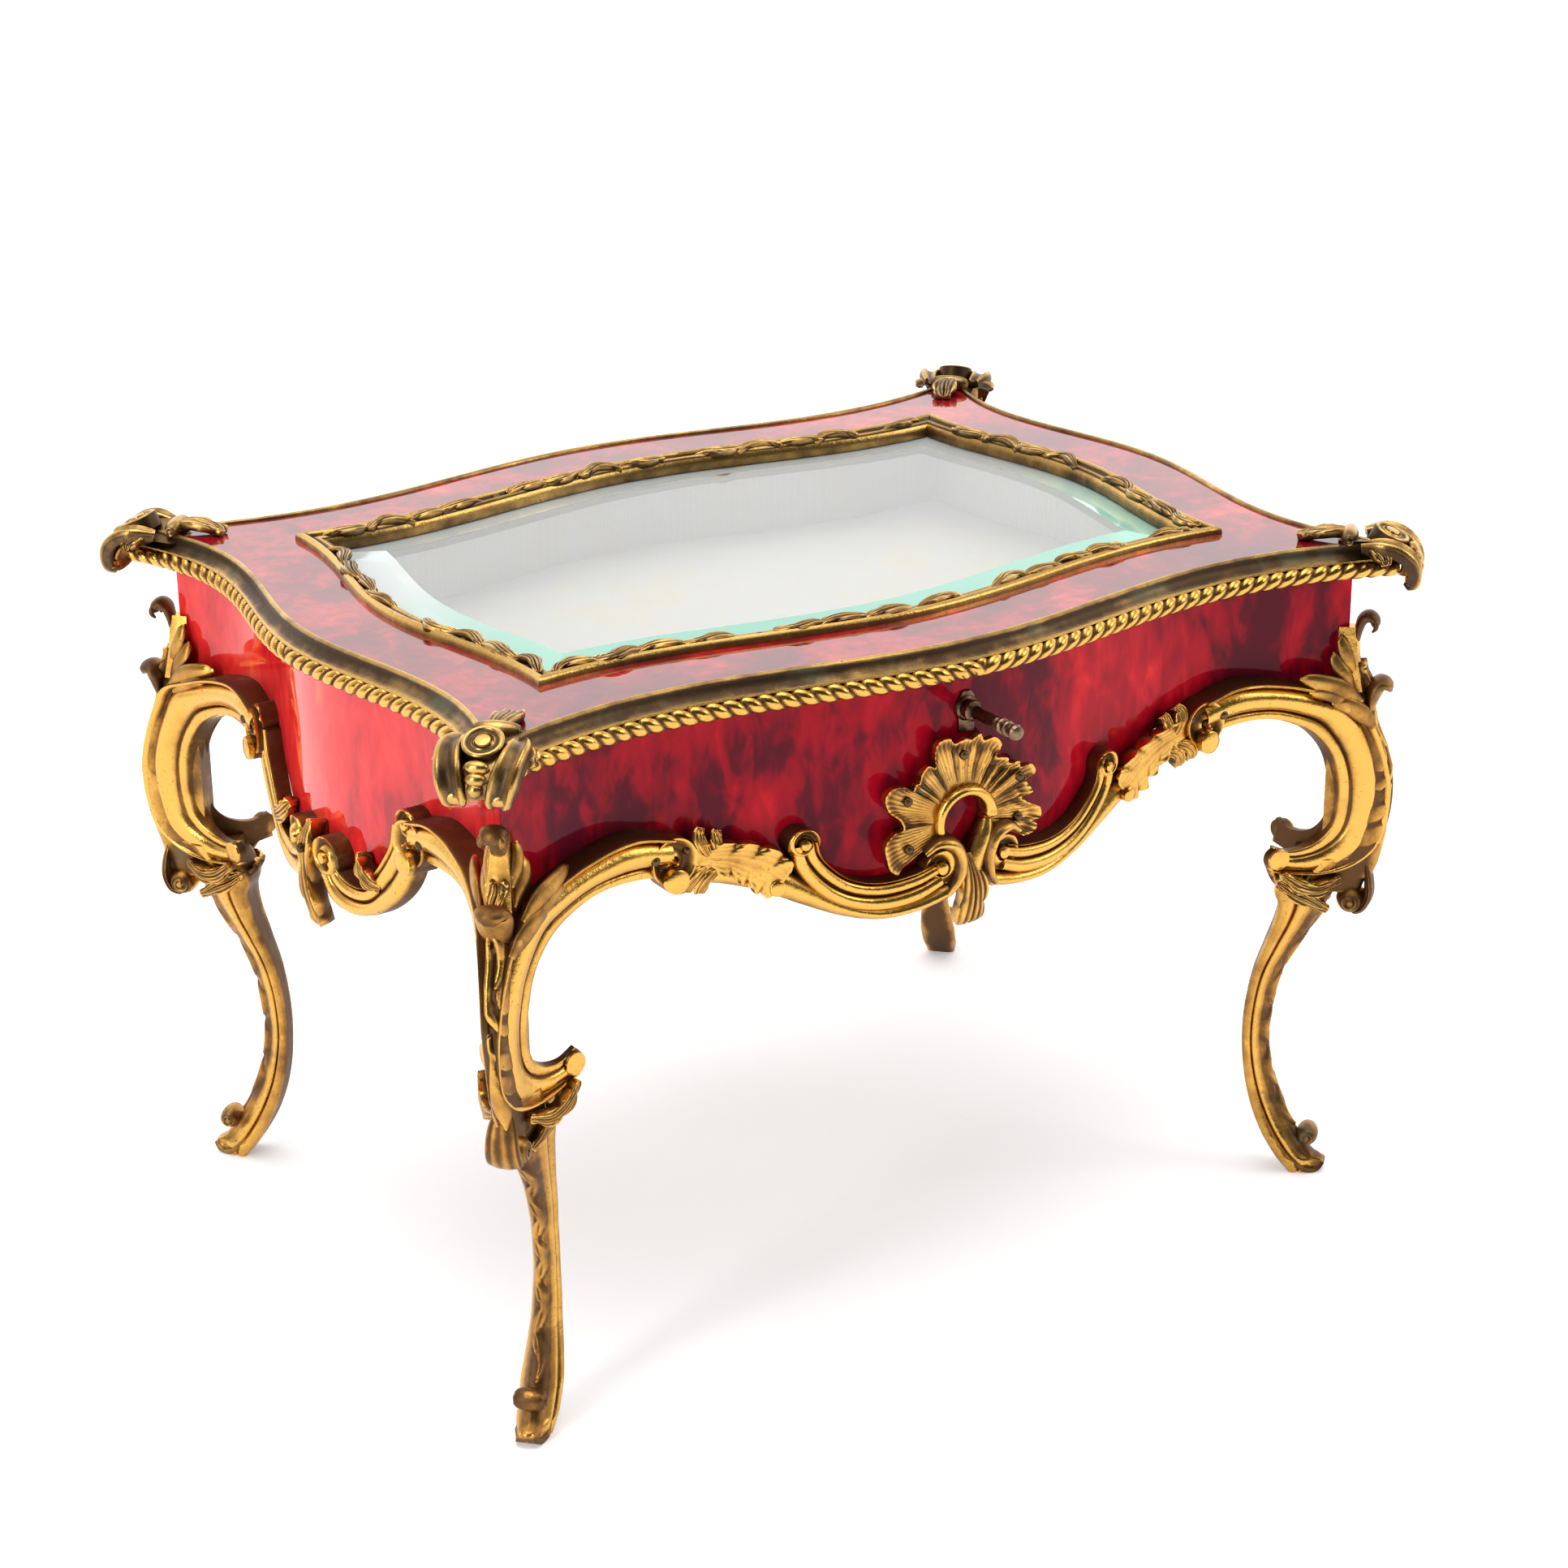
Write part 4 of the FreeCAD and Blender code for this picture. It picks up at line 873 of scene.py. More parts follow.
def fill_shell_clouds(g: Graph, given: dict, want: dict) -> None:
    """Tortoiseshell: upright brushed clouds, bright spots between them, and faint waves of the surface.

    Args:
        g: Graph of the group.
        given, want: Its inputs and outputs by name.
    """
    where = g.where()
    tall, taller = g.stretch(where, (1.0, 1.0, 0.55)), g.stretch(where, (1.0, 1.0, 0.4))
    large = g.noise(tall, g.times(given["Scale"], 17.0), 3.0, 0.5, 0.5)
    mid = g.noise(tall, g.times(given["Scale"], 62.0), 3.0, 0.55, 0.8)
    small = g.noise(taller, g.times(given["Scale"], 210.0), 2.0, 0.6, 0.6)
    total = g.plus(g.times(large, 0.62), g.times(mid, 0.46), g.times(g.minus(small, 0.5), 0.30), given["Shift"])
    g.feed(want["Cloud"], g.fit(total, 0.50, 0.66))
    g.feed(want["Spot"], g.fit(total, 0.53, 0.36))
    g.feed(want["Flame"], g.fit(total, 0.40, 0.29))
    g.feed(want["Height"], g.noise(where, 38.0, 1.0))


def fill_silk(g: Graph, given: dict, want: dict) -> None:
    """Silk: crossing threads and slow yellowing.

    Args:
        g: Graph of the group.
        given, want: Its inputs and outputs by name.
    """
    where = g.where()
    warp, weft = (g.node("ShaderNodeTexWave", wave_type="BANDS", bands_direction=way, Vector=where,
                         Scale=given["Threads"], Distortion=0.6).outputs["Fac"] for way in "XY")
    g.feed(want["Height"], g.plus(warp, weft))
    g.feed(want["Yellowing"], g.fit(g.noise(where, 34.0, 3.0), 0.46, 0.66))


CAST = dict(name="cast_wear", inputs={"Scale": 1.0, "Patches": 0.5, "Lift": 0.0},
            outputs=("Rubbed", "Specks", "Height", "Verdigris"), fill=fill_cast_wear)
CLOUDS = dict(name="shell_clouds", inputs={"Scale": 1.0, "Shift": 0.0},
              outputs=("Cloud", "Spot", "Flame", "Height"), fill=fill_shell_clouds)
SILK = dict(name="silk_threads", inputs={"Threads": 900.0}, outputs=("Height", "Yellowing"), fill=fill_silk)


@dataclass(frozen=True)
class Finish:
    """What a piece is made of. Each kind lays its own nodes."""

    name: str
    slot: str

    def material(self) -> bpy.types.Material:
        """The material, made once.

        Returns:
            The material of that name.
        """
        found = bpy.data.materials.get(self.name)
        if found:
            return found
        made = bpy.data.materials.new(self.name)
        made.use_nodes = True
        graph = Graph(made.node_tree)
        self.lay(graph, made.node_tree.nodes["Principled BSDF"])
        return made

    def lay(self, g: Graph, skin: Node) -> None:
        """Lays the nodes.

        Args:
            g: Graph of the material.
            skin: Its shader.
        """
        raise NotImplementedError

    @staticmethod
    def effect(g: Graph, group: dict, **values: float) -> bpy.types.NodeOutputs:
        """Places a shared group with its own values and gives its outputs."""
        return g.node("ShaderNodeGroup", node_tree=shared_group(**group), **values).outputs


@dataclass(frozen=True)
class CastMetal(Finish):
    """Cast or turned metal: bright on rubbed ridges and painted highlights, brown in the hollows and in painted shade.
    """

    bright: Colour = (0.75, 0.42, 0.090, 1)
    middle: Colour = (0.46, 0.225, 0.050, 1)
    deep: Colour = (0.125, 0.062, 0.027, 1)
    green: Colour = (0.16, 0.17, 0.10, 1)
    scale: float = 1.0
    patches: float = 0.55
    smooth: float = 0.22
    dull: float = 0.52
    specks: float = 0.75
    verdigris: float = 0.35
    relief: float = 0.30
    grain: float = 0.0004
    lift: float = 0.0
    # How far rubbed and painted lit, where one colour gives way to the next and the dull skin to the smooth
    to_middle: Row = (0.0, 0.5)
    to_bright: Row = (0.35, 1.0)
    to_smooth: Row = (-0.2, 1.0)

    def lay(self, g: Graph, skin: Node) -> None:
        """Lays the metal's nodes.

        Args:
            g: Graph of the material.
            skin: Its shader.
        """
        painted_light_and_wear = self.effect(g, CAST, Scale=self.scale, Patches=self.patches, Lift=self.lift)
        colour = g.mix(g.fit(painted_light_and_wear["Rubbed"], *self.to_middle), self.deep, self.middle)
        colour = g.mix(g.fit(painted_light_and_wear["Rubbed"], *self.to_bright), colour, self.bright)
        colour = g.mix(g.times(painted_light_and_wear["Specks"], self.specks), colour, self.deep)
        colour = g.mix(g.times(painted_light_and_wear["Verdigris"], self.verdigris), colour, self.green)
        rough = g.fit(g.minus(painted_light_and_wear["Rubbed"], painted_light_and_wear["Specks"]), *self.to_smooth, self.dull, self.smooth)
        g.fill(skin, Base_Color=colour, Metallic=1.0, Roughness=rough,
               Normal=g.bump(painted_light_and_wear["Height"], self.relief, self.grain))


@dataclass(frozen=True)
class Tortoiseshell(Finish):
    """Polished red tortoiseshell."""

    ground: Colour = (0.44, 0.004, 0.016, 1)
    cloud: Colour = (0.058, 0.004, 0.014, 1)
    spot: Colour = (0.72, 0.012, 0.022, 1)
    flame: Colour = (0.86, 0.085, 0.020, 1)
    scale: float = 1.0
    shift: float = 0.0
    flames: float = 0.75
    cloudy: float = 0.85
    polish: float = 0.4
    rough: Row = (0.04, 0.07)  # on the ground and on the clouds
    relief: float = 0.08
    grain: float = 0.002

    def lay(self, g: Graph, skin: Node) -> None:
        """Lays the shell's nodes.

        Args:
            g: Graph of the material.
            skin: Its shader.
        """
        shell = self.effect(g, CLOUDS, Scale=self.scale, Shift=self.shift)
        colour = g.mix(shell["Spot"], self.ground, self.spot)
        colour = g.mix(g.times(shell["Flame"], self.flames), colour, self.flame)
        colour = g.mix(g.times(shell["Cloud"], self.cloudy), colour, self.cloud)
        g.fill(skin, Base_Color=colour, Roughness=g.fit(shell["Cloud"], 0.0, 1.0, *self.rough), IOR=1.5,
               Specular_IOR_Level=self.polish, Normal=g.bump(shell["Height"], self.relief, self.grain))


@dataclass(frozen=True)
class Silk(Finish):
    """Old pale silk."""

    pale: Colour = (0.52, 0.50, 0.44, 1)
    yellow: Colour = (0.56, 0.47, 0.25, 1)
    aged: float = 0.7
    threads: float = 900.0
    rough: Row = (0.55, 0.72)  # where pale and where yellowed
    sheen: float = 0.35
    relief: float = 0.25
    grain: float = 0.0002

    def lay(self, g: Graph, skin: Node) -> None:
        """Lays the silk's nodes.

        Args:
            g: Graph of the material.
            skin: Its shader.
        """
        cloth = self.effect(g, SILK, Threads=self.threads)
        colour = g.mix(g.times(cloth["Yellowing"], self.aged), self.pale, self.yellow)
        g.fill(skin, Base_Color=colour, Roughness=g.fit(cloth["Yellowing"], 0.0, 1.0, *self.rough),
               Sheen_Weight=self.sheen, Normal=g.bump(cloth["Height"], self.relief, self.grain))


@dataclass(frozen=True)
class Wood(Finish):
    """Plain cabinet wood."""

    light: Colour = (0.30, 0.155, 0.065, 1)
    dark: Colour = (0.115, 0.052, 0.022, 1)
    # Stretch of the grain and the pores, then their scale, detail, roughness and bend
    grain_way: Row = (14.0, 170.0, 170.0)
    grain_noise: Row = (1.6, 5.0, 0.6, 0.9)
    pore_way: Row = (60.0, 900.0, 900.0)
    pore_noise: Row = (1.4, 2.0)
    pore_depth: float = 0.5
    streaks: Row = (0.32, 0.68)
    rough: Row = (0.3, 0.7, 0.46, 0.62)
    relief: float = 0.25
    grain: float = 0.0004

    def lay(self, g: Graph, skin: Node) -> None:
        """Lays the wood's nodes.

        Args:
            g: Graph of the material.
            skin: Its shader.
        """
        where = g.where()
        grain = g.noise(g.stretch(where, self.grain_way), *self.grain_noise)
        pores = g.noise(g.stretch(where, self.pore_way), *self.pore_noise)
        g.fill(skin, Base_Color=g.mix(g.fit(grain, *self.streaks), self.dark, self.light),
               Roughness=g.fit(grain, *self.rough),
               Normal=g.bump(g.plus(grain, g.times(pores, self.pore_depth)), self.relief, self.grain))


@dataclass(frozen=True)
class Glass(Finish):
    """Clear plate, or its ground bevel with the green of thick glass, whose tint runs from strong mint at the front to
    grey-white at the back as painted refracted light.
    """

    tint: Colour = (0.975, 0.99, 0.985, 1)
    far_tint: Colour = (0.975, 0.99, 0.985, 1)
    shade: Colour = (0.55, 0.57, 0.56, 1)
    clear: float = 1.0
    smear_way: Row = (1.0, 2.4, 1.0)
    smear_noise: Row = (26.0, 3.0)
    rough: Row = (0.3, 0.8, 0.0, 0.05)  # from clean to smeared
    tint_run: Row = (-0.035, 0.03)  # m: from the front tint to the far one; the change is painted light

    def lay(self, g: Graph, skin: Node) -> None:
        """Lays the glass's nodes. Light passes without being bent into spots.

        Args:
            g: Graph of the material.
            skin: Its shader.
        """
        where = g.where()
        smear = g.noise(g.stretch(where, self.smear_way), *self.smear_noise)
        depth = g.node("ShaderNodeSeparateXYZ", Vector=where).outputs["Y"]
        g.fill(skin, Base_Color=g.mix(g.fit(depth, *self.tint_run), self.tint, self.far_tint), IOR=1.5,
               Transmission_Weight=self.clear, Roughness=g.fit(smear, *self.rough))
        through = g.node("ShaderNodeBsdfTransparent", Color=self.shade)
        ray = g.node("ShaderNodeLightPath").outputs["Is Shadow Ray"]
        blend = g.node("ShaderNodeMixShader", i0=ray, i1=skin.outputs[0], i2=through.outputs[0])
        g.fill(g.tree.nodes["Material Output"], Surface=blend.outputs[0])


@dataclass(frozen=True)
class Paper(Finish):
    """White studio floor with a hardly visible unevenness."""

    pale: Colour = (0.92, 0.92, 0.93, 1)
    uneven: Colour = (0.90, 0.90, 0.91, 1)
    glow: float = 0.32

    def lay(self, g: Graph, skin: Node) -> None:
        """Lays the floor's nodes."""
        g.fill(skin, Base_Color=g.mix(g.noise(g.where(), 3.0), self.pale, self.uneven), Roughness=0.9,
               Specular_IOR_Level=0.1, Emission_Color=self.pale, Emission_Strength=self.glow)


GILT = CastMetal("gilt_casting", "gilt_bronze")
LID_BRONZE = CastMetal("lid_bronze", "gilt_bronze", bright=(0.60, 0.36, 0.10, 1), middle=(0.27, 0.155, 0.060, 1),
                       deep=(0.075, 0.044, 0.024, 1), patches=0.6, smooth=0.26, dull=0.46, verdigris=0.35)
ROPE_GILT = CastMetal("rope_gilt", "gilt_bronze", patches=0.35, smooth=0.18, dull=0.5, verdigris=0.15)
PIN_BRONZE = CastMetal("pin_heads", "pin_bronze", bright=(0.13, 0.08, 0.04, 1), middle=(0.06, 0.036, 0.018, 1),
                       deep=(0.02, 0.013, 0.008, 1), smooth=0.35, dull=0.6, verdigris=0.2)
KEY_STEEL = CastMetal("key_steel", "lock_steel", bright=(0.24, 0.155, 0.095, 1), middle=(0.10, 0.06, 0.036, 1),
                      deep=(0.03, 0.018, 0.012, 1), scale=1.6, smooth=0.22, dull=0.5, verdigris=0.1)
HINGE_BRASS = CastMetal("old_brass", "hinge_brass", bright=(0.70, 0.52, 0.21, 1), middle=(0.42, 0.29, 0.10, 1),
                        deep=(0.12, 0.08, 0.03, 1), smooth=0.25, dull=0.45, verdigris=0.1, relief=0.12, lift=0.55)
LOCK_STEEL = CastMetal("lock_plate_steel", "lock_steel", bright=(0.46, 0.42, 0.37, 1), middle=(0.24, 0.20, 0.16, 1),
                       deep=(0.06, 0.045, 0.035, 1), smooth=0.28, dull=0.5, verdigris=0.05, relief=0.12, lift=0.55)
RED_SHELL = Tortoiseshell("red_tortoiseshell", "tortoiseshell", polish=0.12)
# Brighter copy of the red tortoiseshell for the end panels: painted light, as the ends look better lit than the front.
END_SHELL_PAINTED_LIT = Tortoiseshell("end_tortoiseshell", "tortoiseshell", ground=(0.72, 0.018, 0.022, 1),
                          spot=(0.90, 0.04, 0.028, 1), flame=(0.95, 0.16, 0.03, 1), cloud=(0.26, 0.006, 0.012, 1),
                          shift=-0.05, cloudy=0.7)
LID_SHELL = Tortoiseshell("lid_tortoiseshell", "tortoiseshell", ground=(0.20, 0.004, 0.010, 1),
                          spot=(0.42, 0.010, 0.016, 1), flame=(0.60, 0.05, 0.02, 1), scale=1.15, shift=-0.03,
                          cloudy=0.6, polish=1.0)
SILK_LINING = Silk("old_silk", "silk_lining")
CARCASS = Wood("cabinet_wood", "carcass_wood")
PLATE = Glass("plate_glass", "bevelled_glass")
# Mint at the front and grey-white at the back: the green of thick glass, with its change from front to back painted in
# place of refracted light.
BEVEL = Glass("bevel_glass", "bevelled_glass", tint=(0.50, 0.93, 0.76, 1), far_tint=(0.80, 0.87, 0.85, 1),
              clear=0.35)
FLOOR = Paper("studio_floor", "")


def settle(piece: Piece, body: Body, finish: Finish, *nodes: str) -> None:
    """Hands a finished piece to the frame.

    Args:
        piece: The piece.
        body: The body that it rides on.
        finish: Its finish; not used.
        nodes: Frame nodes that it stands for.
    """
    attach(piece, body.value)
    if nodes:
        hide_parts(*nodes)
    LOG.info("%s: %d faces, on %s", piece.name, len(piece.data.polygons), body.value)


# Castings of the case

OUT = np.array([math.sqrt(0.5), math.sqrt(0.5), 0.0])
OVER = np.array([-math.sqrt(0.5), math.sqrt(0.5), 0.0])
UP = np.array([0.0, 0.0, 1.0])


def wing_place(back: bool) -> Place:
    """Map over a wall at the back right corner, with places measured from that corner.

    Args:
        back: True for the long side.

    Returns:
        The map.
    """
    x, y = PLAN.case_corner()
    side, end = (Side.BACK, x) if back else (Side.RIGHT, y)

    def place(along: Array, height: Array, out: Array) -> Array:
        """Points over that wall, stopped at the corner's diagonal plane.

        Args:
            along, height, out: Places from the corner, heights and distances out.

        Returns:
            The points.
        """
        p = PLAN.wall(side, end - np.asarray(along, float), height, out)
        if back:
            p[..., 0] = np.minimum(p[..., 0], p[..., 1] + x - y)
        else:
            p[..., 1] = np.minimum(p[..., 1], p[..., 0] - x + y)
        return p

    return place


def over_wall(place: Place, points: Points) -> Array:
    """Points over a wall from triples of place along, height and distance out."""
    p = np.asarray(points, float)
    return place(p[:, 0], p[:, 1], p[:, 2])


def over_corner(points: Points) -> Array:
    """Points on the corner's diagonal from pairs or triples of distance out, height and place across."""
    p = np.asarray(points, float)
    return PLAN.diagonal(p[:, 0], p[:, 1], p[:, 2] if p.shape[1] > 2 else 0.0)


def on_wall(place: Place, spot: Row) -> Array:
    """One point over a wall from its place along, height and distance out."""
    return over_wall(place, (spot,))[0]


def on_corner(*spot: float) -> Array:
    """One point on the corner's diagonal from its distance out, height and, if it has one, place across."""
    return over_corner((spot,))[0]


def to_side(points: Points, sign: int) -> Array:
    """Triples with their places across kept, or mirrored if the sign is -1."""
    return np.asarray(points, float) * (1, 1, sign)


def corner_bulb(cast: Casting, shape: Shape, tone: float, flutes: int = 0) -> None:
    """Swelling on the corner's diagonal from its path and the knots of half its width and depth."""
    path, wide, deep = shape
    bulb(cast, over_corner(path), OVER, OUT, wide, deep, tone, flutes)


def petal(cast: Casting, path: Array, across: Row, normal: Row, half: float) -> None:
    """Smooth leaf with a rounded tip along a path, of the given half width."""
    bulb(cast, path, across, normal, [(s, half * k) for s, k in ((0, 0.4), (0.45, 1), (0.8, 0.85), (1, 0.2))],
         [(s, half * k) for s, k in ((0, 0.25), (0.45, 0.5), (0.8, 0.45), (1, 0.12))], 0.56)


def mirror_four(cast: Casting, prefix: str, finish: Finish, body: Body) -> None:
    """Makes the four corner pieces from the back right one.

    Args:
        cast: The back right piece.
        prefix: Start of the pieces' and the nodes' names.
        finish: Their finish.
        body: The body that they ride on.
    """
    for corner in Corner:
        name = f"{prefix}_{corner.label}"
        cast.mirrored(*corner.flips).hand_in(f"{name}_cast", finish, body, name)


@dataclass
class Leg:
    """Cabriole leg: two C-scrolls, a carved corner between them, a knot, a slim lower leg and a toe."""

    proud: float = 8.0
    inner: Points = (
        (46, 141.5), (35.5, 142.8), (26, 142.5), (18, 140), (11.7, 136.3), (6.5, 130), (4, 122), (3.5, 114),
        (4.6, 107.5), (8.5, 103), (14.5, 101.5), (19.3, 103.3))
    outer: Points = (
        (47.1, 151.9), (35.8, 154.5), (21.9, 152.5), (8, 148.1), (0, 144.6), (-3.9, 137), (-7.3, 127), (-8.9, 117.9),
        (-8.6, 108.3), (-7, 101.9), (-1.6, 96), (5.9, 93.7), (12.3, 94.2), (20.1, 96))
    section: Points = (
        (-1, 0.50, 0.2), (-0.97, 0.60, 0.55), (-0.9, 0.66, 0.8), (-0.72, 0.68, 0.78), (-0.56, 0.64, 0.6),
        (-0.5, 0.55, 0.1), (-0.44, 0.62, 0.4), (-0.36, 0.76, 0.8), (-0.15, 0.88, 0.95), (0.1, 0.92, 1),
        (0.35, 0.88, 0.95), (0.55, 0.78, 0.8), (0.66, 0.68, 0.35), (0.71, 0.66, 0.1), (0.76, 0.80, 0.6),
        (0.82, 0.95, 1), (0.9, 0.97, 0.8), (0.96, 0.9, 0.2), (1, 0.74, 0))
    swell: Points = ((0, 0.92), (0.1, 1), (0.6, 1), (0.78, 0.82), (0.9, 0.5), (1, 0.36))
    corner_out: Points = (
        (88, 7), (92, 8.4), (97, 10), (105, 11.6), (116, 12.4), (125, 12.6), (131, 11), (137, 8.2), (142, 7.2),
        (145, 6.8), (147, 5))
    corner_half: Points = ((88, 3.4), (97, 3.5), (120, 3.6), (132, 3.9), (140, 4.4), (147, 3.6))
    spread: float = 1.15
    # Lobes of the corner's carving: line as place across and height, knots of half the width, and height
    carving: Table = (
        (((-1, 143.4), (1.4, 140), (2.4, 136), (0.8, 131.4)), ((0, 0.9), (0.5, 2.2), (1, 0.8)), 1.1),
        (((-2.2, 143), (-2, 136), (-2.4, 130), (-1, 125), (1.8, 121.6), (3.2, 119.4)),
         ((0, 0.8), (0.5, 2.3), (1, 0.9)), 1.3),
        (((3.2, 134), (2.6, 128.5), (3.2, 124.6)), ((0, 0.7), (0.5, 1.7), (1, 0.6)), 0.9),
        (((-3.6, 127), (-3, 121), (-1, 116.6)), ((0, 0.7), (0.5, 1.7), (1, 0.6)), 0.8),
        (((-1.4, 119), (-2, 113), (-1.2, 106), (0.6, 99), (2, 93)), ((0, 1.2), (0.3, 2.6), (0.7, 2.5), (1, 1.2)), 1.5),
        (((-0.8, 114.8), (1.6, 113), (3.6, 109.6)), ((0, 1.3), (0.6, 1.8), (1, 0.7)), 1),
        (((-0.2, 108.6), (2, 106.6), (3.6, 102.6)), ((0, 1.3), (0.6, 1.8), (1, 0.7)), 1),
        (((-3.4, 109), (-3.2, 103), (-2, 97), (-1, 92)), ((0, 0.8), (0.5, 1.7), (1, 0.9)), 0.9))
    # Leaves on a wing's top: line as place along, height and distance out, and half the width
    petals: Table = (
        (((1, 145, 7.6), (6, 149, 7.8), (11.5, 151.4, 7.2), (17, 152.8, 5.4)), 2.7),
        (((3, 144, 8), (8, 147.2, 8.2), (12, 148.8, 7.8), (15, 149.2, 6.8)), 1.7),
        (((-3, 137.5, 7.4), (1, 142, 8.2), (5, 144.8, 8.4), (9, 145.8, 7.6)), 2.5))
    short_sink: float = 2.0
    # Round ends of a wing: middle, radius, height as a share of proud, turns of the spiral, eye and hidden side
    ends: Table = (
        ((47, 145.8), 6.2, 0.9, 0.9, 0.1, 0), ((46.8, 141.2), 3.3, 1, 1, 1, 0), ((18.6, 99.7), 3.1, 0.4, 1, 1, 0.6))
    under_leaf: Points = ((2, 92.5, 5.4), (8, 90.8, 6.2), (13.5, 92, 5.8), (19, 95.6, 4.6))
    spine_span: Row = (88, 147)
    spine_root: float = 4.0
    squareness: float = 0.67
    # Hooked swellings at the knee and under the scrolls: path, knots of half the width and of half the depth
    knee: Shape = (
        ((5.4, 138), (6.6, 143), (7.6, 146.8), (9, 148.8), (10.8, 148.6), (12, 146.6)),
        ((0, 1.6), (0.35, 4.2), (0.6, 4.7), (0.82, 3.8), (1, 0.9)),
        ((0, 0.8), (0.35, 1.9), (0.6, 2.3), (0.82, 1.9), (1, 0.5)))
    apron_leaf: Shape = (
        ((8, 97), (9.2, 92), (9.4, 87.5), (7.8, 83.6), (5, 81.6)),
        ((0, 2.6), (0.4, 4.2), (0.75, 4.6), (0.95, 3.4), (1, 1.6)), ((0, 0.8), (0.5, 1.5), (0.9, 1.3), (1, 0.5)))
    inside_leaf: Points = ((-6, 84), (-11, 86.6), (-15, 89.6), (-18, 94))
    side_leaf: Points = ((-1, 83, 4), (-6, 86, 6), (-11, 88.6, 7.4), (-15, 92, 8.4))
    # Small leaves down the lower leg: lowest, highest and step of their heights, line of one, and half its width
    husks: Row = (14, 76, 6.2)
    husk: Points = ((0.4, 0), (1.2, 4), (0.2, 8.5), (-1.3, 11.5))
    husk_half: Points = ((0, 0.4), (0.5, 1.4), (1, 0.5))
    tip: Points = ((-10, 11), (-7, 6.4), (-3.8, 3), (-1.2, 2.2), (0.8, 3.8))
    tip_section: Points = ((-1, -0.8), (-0.7, 0.4), (-0.35, 0.1), (0, 0.6), (0.35, 0.1), (0.7, 0.4), (1, -0.8))
    tip_shape: Points = ((0, 0.8), (0.7, 0.9), (1, 0.45))
    shin_out: Points = (
        (5.8, 98.4), (0.5, 88.3), (-3.6, 80), (-9.5, 69.9), (-13.8, 61), (-16.2, 48), (-16.4, 38), (-13.9, 27),
        (-9.5, 17), (-5, 10), (-1.5, 5.5), (1.3, 3.6), (0.7, 1.2), (-1, 0))
    shin_in: Points = (
        (-11.6, 98.4), (-16.2, 88), (-15.2, 84), (-16, 78), (-18.5, 69.9), (-21.5, 60), (-23.2, 48), (-23, 36),
        (-21, 23.9), (-17, 13), (-12, 4.5), (-8.5, 0))
    shin_half: Points = (
        (0, 4.3), (4.6, 5.3), (11, 5.5), (25, 4), (39, 3.4), (52, 3.4), (66, 4.3), (79, 5.8), (89, 7.2), (99, 7.2))
    shin_section: Points = (
        (-1, 0), (-1, 0.5), (-0.95, 0.84), (-0.76, 1), (-0.45, 0.98), (-0.30, 0.86), (-0.22, 0.74), (-0.12, 0.84),
        (0.05, 0.86), (0.28, 0.72), (0.5, 0.56), (0.75, 0.46), (0.93, 0.30), (1, 0))

    def wing(self, cast: Casting, back: bool) -> None:
        """One C-scroll with its arm, button, lower volute and the leaves on its top.

        Args:
            cast: Casting that takes it.
            back: True for the wing on the long side.
        """
        place = wing_place(back)
        moulded_band(cast, place, self.inner, self.outer, [(s, k * self.proud) for s, k in self.swell],
                     self.section, steps=110, across=33)
        for centre, radius, share, turns, eye, rear in self.ends:
            roundel(cast, place, centre, radius, self.proud * share, turns, hand=0, eye=eye, rear=rear)
        normal = on_wall(place, (20, 150, 20)) - on_wall(place, (20, 150, 0))
        sink = 0 if back else self.short_sink
        for path, half in self.petals if back else self.petals[:2]:
            petal(cast, over_wall(place, np.asarray(path) - (0, 0, sink)), UP, normal, half)
        leaf(cast, over_wall(place, self.under_leaf), UP, 2.5, normal, lobes=3, crown=0.3, thick=3.0)

    def spine(self, cast: Casting) -> None:
        """Rounded corner between the scrolls, carved with a hood at the knee and leaves below it.

        Args:
            cast: Casting that takes it.
        """
        z = np.linspace(*self.spine_span, 160)
        a = around(84)
        front = np.clip(np.cos(a), 0, 1) ** self.squareness
        across = graded(self.corner_half, z)[:, None] * np.sign(np.sin(a)) * np.abs(np.sin(a)) ** self.squareness
        tall = z[:, None] * np.ones_like(across)
        relief = lobed(self.spread * across, tall, self.carving) * front ** 2
        d = (graded(self.corner_out, z)[:, None] + self.spine_root) * front - self.spine_root
        cast.tube(PLAN.diagonal(d + relief, tall, across), 0.28 + 0.42 * np.clip(relief / 1.1, 0, 1))
        corner_bulb(cast, self.knee, 0.52)

    def shin(self, cast: Casting) -> None:
        """Slim lower leg with a row of small leaves down its outer edge.

        Args:
            cast: Casting that takes it.
        """
        steps = 230
        a, b = smooth_run(self.shin_out, steps), smooth_run(self.shin_in, steps)
        half = smooth_run(self.shin_section, 44)
        ring = np.vstack([half, half[-2:0:-1] * (1, -1)])
        p = (ring[:, 0] + 1) / 2
        at = b[:, None] * (1 - p)[:, None] + a[:, None] * p[:, None]
        wide = graded(self.shin_half, (a[:, 1] + b[:, 1]) / 2)
        across = wide[:, None] * ring[:, 1]
        lobes = []
        for foot in np.arange(*self.husks):
            sign = -1 if round(foot / self.husks[2]) % 2 else 1
            lobes.append(([(x * sign, foot + z) for x, z in self.husk], self.husk_half, 1.0))
        front = np.clip((ring[:, 0] - 0.45) / 0.3, 0, 1)
        relief = lobed(across, at[..., 1], lobes) * front
        lit = np.clip((np.abs(ring[:, 1]) - 0.5) * 2 + 0.3, 0, 1)
        tone = 0.2 + 0.75 * lit * np.clip(0.8 + 0.4 * ring[:, 0], 0.3, 1)
        cast.tube(PLAN.diagonal(at[..., 0] + relief, at[..., 1], across),
                  np.maximum(tone, 0.36 * front + 0.12 * relief))

